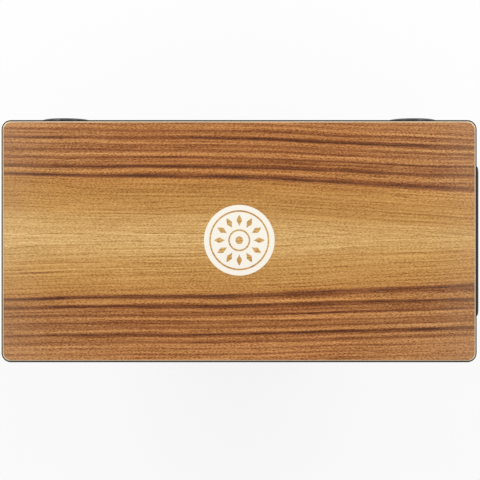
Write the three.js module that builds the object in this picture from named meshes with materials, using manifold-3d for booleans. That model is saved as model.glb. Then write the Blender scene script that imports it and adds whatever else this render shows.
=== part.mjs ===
// A slaptop cajon: a T-shaped box drum that is held between the thighs and played on its wide top.
//
// The veneered playing plate closes the top of a black box. The box has two wings that lie over
// the player's thighs and a stem that hangs between them. Two flared sound ports face away from
// the player, a recessed handle sits in the right-hand end, and two fans of snare wires press
// against the underside of the plate.
//
// Lengths are in millimetres. +Z is up, +X is the player's right and +Y points away from the
// player. The origin is on the floor, under the middle of the drum.

import * as THREE from 'three';
import { mergeVertices } from 'three/addons/utils/BufferGeometryUtils.js';
import Module from 'manifold-3d';

const wasm = await Module();
wasm.setup();

// Box
const boxWidth = 514;
const boxDepth = 262;
const boxCornerRadius = 10;
const lowerEdgeRadius = 4;
const wallThickness = 10;
const wingHeight = 76;
const stemWidth = 240;
const stemHeight = 230;

// Playing plate
const plateThickness = 4;
const veneerThickness = 0.5;
const plateSetback = 1.7;
const plateChamfer = 1.2;
const veneerCornerRadius = 8.5;

// Battens and blocks inside the box
const rimBattenWidth = 12;
const rimBattenHeight = 12;
const wingBlockSide = 16;
const stemBattenSide = 14;

// Sound ports
const portInset = 65.5;
const portBattenGap = 1.7;
const portLipWidth = 4;
const portFlareWidth = 3.5;
const portLipHeight = 3.3;
const portFlangeEdge = 0.8;
const portFlareDepth = 11;
const portSkirtThickness = 2;
const portSkirtLength = 24;
const portTubeThickness = 2;
const portTubeLength = 50;
const portSocketDepth = 8;

// Recessed handle
const handleLength = 164;
const handleEdgeMargin = 5;
const handleFlangeThickness = 2.9;
const handleFlangeRadius = 8;
const handleEdgeRadius = 1.9;
const cupEndMargin = 26;
const cupSideMargin = 12;
const cupDepth = 38;
const cupCornerRadius = 12;
const cupWall = 2.5;
const gripRadius = 6;
const gripTopGap = 3;
const gripInset = 1;
const handleScrewEndInset = 12;
const handleScrewSideInset = 14;

// Feet
const footHeight = 8;
const footTopRadius = 15;
const footBottomRadius = 13;
const footEdgeRadius = 1.5;
const footInset = 26;
const footRecessRadius = 6;
const footRecessDepth = 4.5;

// Snare wires and the beam that carries them
const snareBeamHeight = 20;
const snareBeamGap = 2;
const clampWidth = 14;
const clampThickness = 1.5;
const clampGap = 4;
const clampEndMargin = 6;
const strandCount = 10;
const strandSpacing = 8;
const strandRadius = 0.9;
const strandLength = 150;
const strandStart = 5;
const clampScrewInset = 6;

// Screws
const countersunkHeadRadius = 3.6;
const countersunkHeadDepth = 2.2;
const panHeadRadius = 4;
const panHeadHeight = 2.6;
const shankRadius = 1.8;
const screwTipCover = 1.8;
const clampHeadRadius = 2.8;
const clampHeadHeight = 1.6;
const clampScrewLength = 10;
const clampShankRadius = 1.3;
const recessWidth = 0.9;
const recessSpanShare = 0.55;
const recessDepthShare = 0.55;

// Clearances, cuts and roundness
const glueLine = 0.1;
const fitGap = 0.3;
const cutOverrun = 6;
const weldDistance = 1e-4;
const cornerSteps = 6;
const edgeSteps = 4;
const roundSteps = 48;
const footSteps = 24;
const screwSteps = 16;
const gripSteps = 24;
const strandSides = 6;

// Heights and places worked out from the sizes
const stemFloorZ = footHeight;
const wingFloorZ = stemFloorZ + stemHeight;
const rimZ = wingFloorZ + wingHeight;
const plateTopZ = rimZ + plateThickness;
const halfWidth = boxWidth / 2;
const halfDepth = boxDepth / 2;
const halfStem = stemWidth / 2;
const innerHalfWidth = halfWidth - wallThickness;
const innerHalfDepth = halfDepth - wallThickness;
const innerHalfStem = halfStem - wallThickness;
const wingMiddleZ = (wingFloorZ + rimZ) / 2;
const portX = halfWidth - portInset;
const portSkirtRadius = wingHeight / 2 - rimBattenHeight - portBattenGap;
const portSocketRadius = portSkirtRadius - portSkirtThickness;
const portTubeOuterRadius = portSocketRadius - fitGap;
const portThroatRadius = portTubeOuterRadius - portTubeThickness;
const portLipRadius = portThroatRadius + portFlareWidth;
const portFlangeRadius = portLipRadius + portLipWidth;
const handleHeight = wingHeight - 2 * handleEdgeMargin;
const handleFaceZ = glueLine + handleFlangeThickness;
const cupLength = handleLength - 2 * cupEndMargin;
const cupHeight = handleHeight - 2 * cupSideMargin;
const handleScrewLength = handleFaceZ + wallThickness - screwTipCover;
const footScrewHeadZ = footRecessDepth - fitGap;
const footScrewLength = stemFloorZ + wallThickness - screwTipCover - footScrewHeadZ;
const snareBeamWidth = 2 * clampWidth + clampGap;
const snareBeamTopZ = rimZ - rimBattenHeight - snareBeamGap;
const clampPilotZ = snareBeamTopZ - clampScrewLength;

// Materials
const material = (color, roughness, metalness = 0) =>
  new THREE.MeshStandardMaterial({ color, roughness, metalness });
const veneerWood = material(0xb98550, 0.45);
const plywood = material(0xdcc59c, 0.6);
const blackPaint = material(0x1b1b1b, 0.55);
const battenWood = material(0xcfb083, 0.75);
const blackPlastic = material(0x131313, 0.35);
const rubber = material(0x171717, 0.9);
const blackSteel = material(0x202022, 0.4, 0.9);
const brightSteel = material(0xb9bbbe, 0.3, 1);

const cajon = new THREE.Group();

// A geometry as a solid that can be joined and cut.
function solidOf(geometry) {
  const bare = geometry.clone();
  bare.deleteAttribute('normal');
  bare.deleteAttribute('uv');
  const merged = mergeVertices(bare, weldDistance);
  return new wasm.Manifold(
    new wasm.Mesh({
      numProp: 3,
      vertProperties: merged.attributes.position.array,
      triVerts: new Uint32Array(merged.index.array),
    })
  );
}

// A solid back as a geometry.
function geometryOf(solid) {
  const mesh = solid.getMesh();
  const geometry = new THREE.BufferGeometry();
  geometry.setAttribute('position', new THREE.BufferAttribute(mesh.vertProperties, 3));
  geometry.setIndex(new THREE.BufferAttribute(mesh.triVerts, 1));
  geometry.computeVertexNormals();
  return geometry;
}

// Adds one named piece to the drum.
function addPiece(name, solid, pieceMaterial) {
  const mesh = new THREE.Mesh(geometryOf(solid), pieceMaterial);
  mesh.name = name;
  cajon.add(mesh);
}

// A block between two corners.
function block(low, high) {
  const geometry = new THREE.BoxGeometry(high[0] - low[0], high[1] - low[1], high[2] - low[2]);
  geometry.translate((low[0] + high[0]) / 2, (low[1] + high[1]) / 2, (low[2] + high[2]) / 2);
  return solidOf(geometry);
}

// A solid of revolution about the Z axis. The profile is a closed run of [radius, height].
function turned(profile, steps) {
  const points = profile.map(([radius, height]) => new THREE.Vector2(radius, height));
  const geometry = new THREE.LatheGeometry(points, steps);
  geometry.rotateX(Math.PI / 2);
  const solid = solidOf(geometry);
  if (solid.volume() > 0) return solid;
  return solidOf(new THREE.LatheGeometry(points.reverse(), steps).rotateX(Math.PI / 2));
}

// The points of a quarter ellipse from angle a to angle b, in degrees.
function arc(centre, radiusAcross, radiusUp, a, b, steps = cornerSteps) {
  const points = [];
  for (let i = 0; i <= steps; i++) {
    const angle = THREE.MathUtils.degToRad(a + ((b - a) * i) / steps);
    points.push([
      centre[0] + radiusAcross * Math.cos(angle),
      centre[1] + radiusUp * Math.sin(angle),
    ]);
  }
  return points;
}

// A rectangle with round corners about the origin, anticlockwise.
function roundedRectangle(width, height, radius) {
  const x = width / 2 - radius;
  const y = height / 2 - radius;
  return [
    ...arc([x, y], radius, radius, 0, 90),
    ...arc([-x, y], radius, radius, 90, 180),
    ...arc([-x, -y], radius, radius, 180, 270),
    ...arc([x, -y], radius, radius, 270, 360),
  ];
}

// An outline in XY pulled up from z = low to z = high.
function prism(outline, low, high) {
  const shape = new THREE.Shape(outline.map(([x, y]) => new THREE.Vector2(x, y)));
  const geometry = new THREE.ExtrudeGeometry(shape, { depth: high - low, bevelEnabled: false });
  geometry.translate(0, 0, low);
  return solidOf(geometry);
}

// A solid through a stack of convex outlines with equal counts of points, lowest first.
function stacked(layers) {
  const count = layers[0].outline.length;
  const positions = [];
  for (const layer of layers) {
    for (const [x, y] of layer.outline) positions.push(x, y, layer.z);
  }
  const index = [];
  for (let k = 0; k + 1 < layers.length; k++) {
    for (let i = 0; i < count; i++) {
      const a = k * count + i;
      const b = k * count + ((i + 1) % count);
      index.push(a, b, b + count, a, b + count, a + count);
    }
  }
  const top = (layers.length - 1) * count;
  for (let i = 1; i + 1 < count; i++) {
    index.push(0, i + 1, i, top, top + i, top + i + 1);
  }
  const geometry = new THREE.BufferGeometry();
  geometry.setAttribute('position', new THREE.Float32BufferAttribute(positions, 3));
  geometry.setIndex(index);
  return solidOf(geometry);
}

// Two crossed slots, which follow the size of a screw's head, going down from z = 0.
function crossRecess(headRadius, headHeight) {
  const reach = headRadius * recessSpanShare;
  const depth = headHeight * recessDepthShare;
  const slot = (across, along) =>
    block([-across, -along, -depth], [across, along, cutOverrun]);
  return slot(recessWidth / 2, reach).add(slot(reach, recessWidth / 2));
}

// Screws stand along Z with the top of the head at z = 0 and the point below.
function countersunkScrew() {
  const profile = [
    [0, 0],
    [countersunkHeadRadius, 0],
    [shankRadius, -countersunkHeadDepth],
    [shankRadius, -handleScrewLength + shankRadius],
    [0, -handleScrewLength],
  ];
  return turned(profile, screwSteps).subtract(
    crossRecess(countersunkHeadRadius, countersunkHeadDepth)
  );
}

function panScrew(headRadius, headHeight, length, radius) {
  const profile = [
    [0, 0],
    ...arc([0, -headHeight], headRadius, headHeight, 90, 0, edgeSteps).slice(1),
    [radius, -headHeight],
    [radius, -headHeight - length + radius],
    [0, -headHeight - length],
  ];
  return turned(profile, screwSteps).subtract(crossRecess(headRadius, headHeight));
}

// A hole about Z for a screw's shank, from z = low to z = high.
function shankHole(radius, low, high) {
  return turned(
    [
      [0, low],
      [radius + fitGap, low],
      [radius + fitGap, high],
      [0, high],
    ],
    screwSteps
  );
}

// The outside of the box, as a wide block for the wings joined to a narrow one for the stem. Each
// has round upright corners and round lower edges, and only the stem's upper end is buried.
function boxEnvelope() {
  const roundedBlock = (width, low, high) => {
    const upright = prism(roundedRectangle(width, boxDepth, boxCornerRadius), low, high);
    const view = (across) => {
      const x = across / 2 - lowerEdgeRadius;
      const y = low + lowerEdgeRadius;
      return [
        [across / 2, high],
        [-across / 2, high],
        ...arc([-x, y], lowerEdgeRadius, lowerEdgeRadius, 180, 270),
        ...arc([x, y], lowerEdgeRadius, lowerEdgeRadius, 270, 360),
      ];
    };
    const front = prism(view(width), -halfDepth - cutOverrun, halfDepth + cutOverrun);
    const end = prism(view(boxDepth), -halfWidth - cutOverrun, halfWidth + cutOverrun);
    return upright.intersect(front.rotate([90, 0, 0])).intersect(end.rotate([90, 0, 90]));
  };
  return roundedBlock(boxWidth, wingFloorZ, rimZ).add(roundedBlock(stemWidth, stemFloorZ, rimZ));
}

const envelope = boxEnvelope();

// A panel of the box: a block that may pass the outside, cut back to the envelope.
const panel = (low, high) => block(low, high).intersect(envelope);

// Both sides, with -1 for the player's left and 1 for the right.
const sides = [
  ['left', -1],
  ['right', 1],
];

// The playing plate is a plywood core under a bookmatched veneer. The chamfer runs through both.
function addPlayingPlate() {
  const lowerRadius = boxCornerRadius - plateSetback;
  const outline = (inset) =>
    roundedRectangle(
      boxWidth - 2 * (plateSetback + inset),
      boxDepth - 2 * (plateSetback + inset),
      THREE.MathUtils.lerp(lowerRadius, veneerCornerRadius, inset / plateChamfer)
    );
  const veneerZ = plateTopZ - veneerThickness;
  const core = stacked([
    { outline: outline(0), z: rimZ + glueLine },
    { outline: outline(0), z: plateTopZ - plateChamfer },
    { outline: outline(plateChamfer - veneerThickness - glueLine), z: veneerZ - glueLine },
  ]);
  const veneer = stacked([
    { outline: outline(plateChamfer - veneerThickness), z: veneerZ },
    { outline: outline(plateChamfer), z: plateTopZ },
  ]);
  addPiece('plate_core', core, plywood);
  addPiece('face_veneer', veneer, veneerWood);
}

// The front and back panels are each one T-shaped board; the others fit between them.
function addBox() {
  const farX = halfWidth + cutOverrun;
  const farY = halfDepth + cutOverrun;
  const betweenY = innerHalfDepth - glueLine;

  let portPanel = panel([-farX, innerHalfDepth, 0], [farX, farY, rimZ]);
  for (const [, side] of sides) {
    const hole = turned(
      [
        [0, -cutOverrun],
        [portSkirtRadius + fitGap, -cutOverrun],
        [portSkirtRadius + fitGap, wallThickness + cutOverrun],
        [0, wallThickness + cutOverrun],
      ],
      roundSteps
    );
    portPanel = portPanel.subtract(atPort(hole, side, wallThickness));
  }
  addPiece('port_panel', portPanel, blackPaint);
  addPiece('player_panel', panel([-farX, -farY, 0], [farX, -innerHalfDepth, rimZ]), blackPaint);

  for (const [name, side] of sides) {
    const across = (inner, outer) => [Math.min(side * inner, side * outer),
      Math.max(side * inner, side * outer)];
    const [endLow, endHigh] = across(innerHalfWidth, farX);
    let end = panel([endLow, -betweenY, 0], [endHigh, betweenY, rimZ]);
    if (side > 0) end = end.subtract(handleOpening());
    addPiece(`${name}_end_panel`, end, blackPaint);

    const [floorLow, floorHigh] = across(halfStem + glueLine, innerHalfWidth - glueLine);
    addPiece(
      `${name}_wing_floor`,
      panel(
        [floorLow, -betweenY, wingFloorZ - cutOverrun],
        [floorHigh, betweenY, wingFloorZ + wallThickness]
      ),
      blackPaint
    );

    const [wallLow, wallHigh] = across(innerHalfStem, halfStem);
    addPiece(
      `${name}_stem_wall`,
      panel([wallLow, -betweenY, 0], [wallHigh, betweenY, wingFloorZ + wallThickness]),
      blackPaint
    );
  }

  let floor = panel(
    [-innerHalfStem + glueLine, -betweenY, 0],
    [innerHalfStem - glueLine, betweenY, stemFloorZ + wallThickness]
  );
  for (const [, x, y] of footPlaces()) {
    const hole = shankHole(shankRadius, 0, footScrewHeadZ + footScrewLength + fitGap);
    floor = floor.subtract(hole.translate([x, y, 0]));
  }
  addPiece('stem_floor', floor, blackPaint);
}

// Battens under the rim widen the seat of the plate, and blocks stiffen the glued corners.
function addBattens() {
  const blockX = innerHalfWidth - glueLine;
  const blockY = innerHalfDepth - glueLine;
  const blockLow = wingFloorZ + wallThickness + glueLine;
  const battenLow = rimZ - rimBattenHeight;
  const alongX = blockX - wingBlockSide - glueLine;
  const alongY = blockY - wingBlockSide - glueLine;

  const rims = [
    ['port_side', [-alongX, blockY - rimBattenWidth], [alongX, blockY]],
    ['player_side', [-alongX, -blockY], [alongX, rimBattenWidth - blockY]],
    ['left', [-blockX, -alongY], [rimBattenWidth - blockX, alongY]],
    ['right', [blockX - rimBattenWidth, -alongY], [blockX, alongY]],
  ];
  for (const [name, low, high] of rims) {
    addPiece(`${name}_rim_batten`, block([...low, battenLow], [...high, rimZ]), battenWood);
  }

  const depths = [
    ['port', 1],
    ['player', -1],
  ];
  for (const [sideName, side] of sides) {
    for (const [depthName, depth] of depths) {
      const upright = (x, y, width, low, high) =>
        block(
          [Math.min(side * x, side * (x - width)), Math.min(depth * y, depth * (y - width)), low],
          [Math.max(side * x, side * (x - width)), Math.max(depth * y, depth * (y - width)), high]
        );
      addPiece(
        `${sideName}_${depthName}_wing_block`,
        upright(blockX, blockY, wingBlockSide, blockLow, rimZ),
        battenWood
      );
      addPiece(
        `${sideName}_${depthName}_stem_batten`,
        upright(
          innerHalfStem - glueLine,
          blockY,
          stemBattenSide,
          stemFloorZ + wallThickness + glueLine,
          wingFloorZ + wallThickness
        ),
        battenWood
      );
    }
  }
}

// Moves a solid made about Z, with z = 0 on a panel's inner face and +Z going out, to a port.
function atPort(solid, side, depthInPanel) {
  return solid
    .rotate([-90, 0, 0])
    .translate([side * portX, halfDepth - depthInPanel, wingMiddleZ]);
}

// Each port is a flared mouth, whose skirt goes through the panel, and a tube pushed into it.
function addPorts() {
  const socketFloor = -portSkirtLength + portSocketDepth;
  const lip = portLipHeight;
  const seat = glueLine;
  const mouth = [
    [portSkirtRadius, seat],
    [portFlangeRadius, seat],
    ...arc(
      [portLipRadius, seat + portFlangeEdge],
      portFlangeRadius - portLipRadius,
      lip - portFlangeEdge,
      0,
      90
    ),
    ...arc(
      [portLipRadius, seat + lip - portFlareDepth],
      portThroatRadius - portLipRadius,
      portFlareDepth,
      90,
      0
    ).slice(1),
    [portThroatRadius, socketFloor],
    [portSocketRadius, socketFloor],
    [portSocketRadius, -portSkirtLength],
    [portSkirtRadius, -portSkirtLength],
    [portSkirtRadius, seat],
  ];
  const tubeTop = socketFloor - fitGap;
  const tube = [
    [portThroatRadius, tubeTop],
    [portThroatRadius, tubeTop - portTubeLength],
    [portTubeOuterRadius, tubeTop - portTubeLength],
    [portTubeOuterRadius, tubeTop],
    [portThroatRadius, tubeTop],
  ];
  for (const [name, side] of sides) {
    addPiece(`${name}_port_mouth`, atPort(turned(mouth, roundSteps), side, 0), blackPlastic);
    addPiece(`${name}_port_tube`, atPort(turned(tube, roundSteps), side, 0), blackPlastic);
  }
}

// The handle is made in its own frame: X along the flange, Y up, and +Z out of the end panel,
// with z = 0 on the panel's face. This carries it to the right-hand end.
function atHandle(solid) {
  return solid.rotate([90, 0, 90]).translate([halfWidth, 0, wingMiddleZ]);
}

// The four screw places, in the handle's own frame.
function handleScrewPlaces() {
  const along = handleLength / 2 - handleScrewEndInset;
  const up = handleHeight / 2 - handleScrewSideInset;
  return [
    ['player_upper', -along, up],
    ['player_lower', -along, -up],
    ['port_upper', along, up],
    ['port_lower', along, -up],
  ];
}

// What the right end panel gives up to the handle: the cup's opening and four pilot holes.
function handleOpening() {
  const grow = 2 * (cupWall + fitGap);
  let opening = prism(
    roundedRectangle(cupLength + grow, cupHeight + grow, cupCornerRadius + grow / 2),
    -wallThickness - cutOverrun,
    cutOverrun
  );
  for (const [, x, y] of handleScrewPlaces()) {
    const hole = shankHole(shankRadius, handleFaceZ - handleScrewLength - fitGap, cutOverrun);
    opening = opening.add(hole.translate([x, y, 0]));
  }
  return atHandle(opening);
}

// A moulded flange with a cup behind it, and a round grip across the cup's upper half.
function addHandle() {
  const face = handleFaceZ;
  const flangeOutline = (inset) =>
    roundedRectangle(
      handleLength - 2 * inset,
      handleHeight - 2 * inset,
      handleFlangeRadius - inset
    );
  const roundness = handleEdgeRadius;
  const edgeLayers = arc([0, face - roundness], roundness, roundness, 0, 90, edgeSteps)
    .map(([outward, z]) => ({ outline: flangeOutline(roundness - outward), z }));
  const flange = stacked([{ outline: flangeOutline(0), z: glueLine }, ...edgeLayers]);

  const cupOutline = (grow) =>
    roundedRectangle(cupLength + 2 * grow, cupHeight + 2 * grow, cupCornerRadius + grow);
  const cup = prism(cupOutline(cupWall), face - cupDepth - cupWall, face - handleEdgeRadius);
  const hollow = stacked([
    { outline: cupOutline(-cupWall), z: face - cupDepth },
    { outline: cupOutline(0), z: face - cupDepth + 2 * cupWall },
    { outline: cupOutline(0), z: face - cupWall },
    { outline: cupOutline(cupWall), z: face + glueLine },
  ]);

  const gripY = cupHeight / 2 - gripTopGap - gripRadius;
  const gripZ = face - gripInset - gripRadius;
  const grip = solidOf(
    new THREE.CylinderGeometry(gripRadius, gripRadius, cupLength + 2 * cupWall, gripSteps)
      .rotateZ(Math.PI / 2)
      .translate(0, gripY, gripZ)
  ).intersect(prism(cupOutline(cupWall / 2), gripZ - gripRadius, gripZ + gripRadius));
  let handle = flange.add(cup).subtract(hollow).add(grip);

  const sink = turned(
    [
      [0, -countersunkHeadDepth - fitGap],
      [shankRadius + fitGap, -countersunkHeadDepth - fitGap],
      [countersunkHeadRadius + fitGap, 0],
      [countersunkHeadRadius + fitGap, cutOverrun],
      [0, cutOverrun],
    ],
    screwSteps
  );
  for (const [name, x, y] of handleScrewPlaces()) {
    const hole = shankHole(shankRadius, -face - cutOverrun, 0);
    handle = handle.subtract(sink.add(hole).translate([x, y, face]));
    const screw = countersunkScrew().translate([x, y, face]);
    addPiece(`handle_screw_${name}`, atHandle(screw), blackSteel);
  }
  addPiece('handle', atHandle(handle), blackPlastic);
}

// The feet stand in from the corners of the stem's floor.
function footPlaces() {
  const x = halfStem - footInset;
  const y = halfDepth - footInset;
  return [
    ['left_port', -x, y],
    ['right_port', x, y],
    ['left_player', -x, -y],
    ['right_player', x, -y],
  ];
}

// A rubber foot is a ring with a recess below for the head of its screw.
function addFeet() {
  const top = stemFloorZ - glueLine;
  const bore = shankRadius + fitGap;
  const profile = [
    [bore, footRecessDepth],
    [footRecessRadius, footRecessDepth],
    [footRecessRadius, 0],
    ...arc(
      [footBottomRadius - footEdgeRadius, footEdgeRadius],
      footEdgeRadius,
      footEdgeRadius,
      270,
      360,
      edgeSteps
    ),
    [footTopRadius, top],
    [bore, top],
    [bore, footRecessDepth],
  ];
  for (const [name, x, y] of footPlaces()) {
    const foot = turned(profile, footSteps);
    addPiece(`${name}_foot`, foot.translate([x, y, 0]), rubber);
    const screw = panScrew(panHeadRadius, panHeadHeight, footScrewLength, shankRadius)
      .rotate([180, 0, 0])
      .translate([x, y, footScrewHeadZ - panHeadHeight]);
    addPiece(`${name}_foot_screw`, screw, blackSteel);
  }
}

// A beam from panel to panel carries two fans of wires that rise to the underside of the plate.
function addSnares() {
  const beamTop = snareBeamTopZ;
  const beamEnd = innerHalfDepth - glueLine;
  let beam = block(
    [-snareBeamWidth / 2, -beamEnd, beamTop - snareBeamHeight],
    [snareBeamWidth / 2, beamEnd, beamTop]
  );

  const clampLow = beamTop + glueLine;
  const clampTop = clampLow + clampThickness;
  const clampLength = strandSpacing * (strandCount - 1) + 2 * clampEndMargin;
  const rise = rimZ - fitGap - strandRadius - (clampLow + strandRadius);
  const slope = Math.asin(rise / strandLength);
  const clampMiddle = (snareBeamWidth - clampWidth) / 2;

  for (const [name, side] of sides) {
    let fan = block(
      [clampMiddle - clampWidth / 2, -clampLength / 2, clampLow],
      [clampMiddle + clampWidth / 2, clampLength / 2, clampTop]
    );
    for (let i = 0; i < strandCount; i++) {
      const y = strandSpacing * (i - (strandCount - 1) / 2);
      const strand = new THREE.CylinderGeometry(
        strandRadius,
        strandRadius,
        strandLength,
        strandSides
      );
      strand.rotateZ(-Math.PI / 2).translate(strandLength / 2, 0, 0).rotateY(-slope);
      strand.translate(clampMiddle + strandStart, y, clampLow + strandRadius);
      fan = fan.add(solidOf(strand));
    }
    const middle = side * clampMiddle;
    const turn = side > 0 ? 0 : 180;
    fan = fan.rotate([0, 0, turn]);

    for (const [end, along] of [['port', 1], ['player', -1]]) {
      const y = along * (clampLength / 2 - clampScrewInset);
      const hole = shankHole(clampShankRadius, clampPilotZ, clampTop + cutOverrun)
        .translate([middle, y, 0]);
      fan = fan.subtract(hole);
      beam = beam.subtract(hole);
      const screw = panScrew(
        clampHeadRadius,
        clampHeadHeight,
        clampScrewLength - clampThickness - fitGap,
        clampShankRadius
      ).translate([middle, y, clampTop + glueLine + clampHeadHeight]);
      addPiece(`${name}_${end}_clamp_screw`, screw, brightSteel);
    }
    addPiece(`${name}_snare_wires`, fan, brightSteel);
  }
  addPiece('snare_beam', beam, battenWood);
}

addPlayingPlate();
addBox();
addBattens();
addPorts();
addHandle();
addFeet();
addSnares();

export default cajon;
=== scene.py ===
# %% [markdown]
# A slaptop cajon is a T-shaped wooden drum. Its two wings lie on the player's thighs, its stem hangs
# between them, and the hands slap the wide plate on top. The construction comes as a fixed frame of
# CAD pieces. This lesson gives those pieces their finish: striped veneer over pale plywood, black
# lacquer, moulded plastic, rubber and steel. Everything is in metres, with +Z up, +X to the
# player's right and +Y away from the player.

# %% Load the frame
import math

import bmesh
import bpy
import numpy as np
from mathutils import Matrix, Vector


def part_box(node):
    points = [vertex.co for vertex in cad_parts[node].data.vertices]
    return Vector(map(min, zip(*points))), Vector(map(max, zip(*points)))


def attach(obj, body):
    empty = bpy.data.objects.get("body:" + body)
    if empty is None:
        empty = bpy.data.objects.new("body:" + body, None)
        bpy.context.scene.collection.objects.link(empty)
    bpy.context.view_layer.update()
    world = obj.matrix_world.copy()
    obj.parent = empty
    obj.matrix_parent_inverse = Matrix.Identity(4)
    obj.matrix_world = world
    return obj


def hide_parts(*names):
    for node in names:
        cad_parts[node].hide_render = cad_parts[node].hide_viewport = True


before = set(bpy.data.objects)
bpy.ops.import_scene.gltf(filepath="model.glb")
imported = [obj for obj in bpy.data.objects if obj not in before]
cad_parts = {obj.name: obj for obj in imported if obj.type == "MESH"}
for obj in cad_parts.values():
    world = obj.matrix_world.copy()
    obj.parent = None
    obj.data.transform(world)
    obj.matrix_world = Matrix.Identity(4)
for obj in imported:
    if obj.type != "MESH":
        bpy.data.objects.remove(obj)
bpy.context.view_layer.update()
MM = 0.001

# %% [markdown]
# The camera comes first, because every later choice is judged through it. A catalogue picture of a
# drum's plate is taken from straight above with a long lens, which keeps the edges parallel. The
# lens follows from two lengths: how far the camera is from the plate, and how wide a strip of the
# plate's plane fills the picture. An unturned Blender camera already looks down, with +Y at the top.

# %% The camera
IMAGE_SIDE = 480
PIXEL_ON_PLATE = 1.0788 * MM
DRUM_MIDDLE_PIXEL = (239.1, 241.18)
CAMERA_DISTANCE = 1.5

plate_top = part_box("face_veneer")[1].z
lens_data = bpy.data.cameras.new("studio_camera")
lens_data.lens = lens_data.sensor_width * CAMERA_DISTANCE / (IMAGE_SIDE * PIXEL_ON_PLATE)
camera = bpy.data.objects.new("studio_camera", lens_data)
camera.location = (
    (IMAGE_SIDE / 2 - DRUM_MIDDLE_PIXEL[0]) * PIXEL_ON_PLATE,
    (DRUM_MIDDLE_PIXEL[1] - IMAGE_SIDE / 2) * PIXEL_ON_PLATE,
    plate_top + CAMERA_DISTANCE,
)
bpy.context.scene.collection.objects.link(camera)
bpy.context.scene.camera = camera
print("lens in millimetres:", round(lens_data.lens, 1))

# %% [markdown]
# Shader networks get long when every node is written out. A small recipe class keeps them short:
# each call adds one node, plugs in what it is given, and hands back what comes out, so a material
# reads like arithmetic. All patterns read Object coordinates, scaled to millimetres, so that the
# numbers in a recipe are the sizes that a ruler would show.

# %% A recipe for shader nodes
SOCKETS_OF_MIX = {"share": 0, "a": 6, "b": 7, "out": 2}
PER_METRE = 1 / MM
NOISE_REACH = (0.3, 0.7)
SRGB_TOE, SRGB_TOE_SLOPE, SRGB_OFFSET, SRGB_POWER = 0.04045, 12.92, 0.055, 2.4
FULL_TONE = 255
SAMPLE_TONE = 188


def srgb(red, green, blue):
    """A colour given on a 0 to 255 scale, as the linear light that Blender works in."""
    share = np.array([red, green, blue]) / FULL_TONE
    curved = ((share + SRGB_OFFSET) / (1 + SRGB_OFFSET)) ** SRGB_POWER
    linear = np.where(share <= SRGB_TOE, share / SRGB_TOE_SLOPE, curved)
    return (*linear.tolist(), 1.0)


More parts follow.
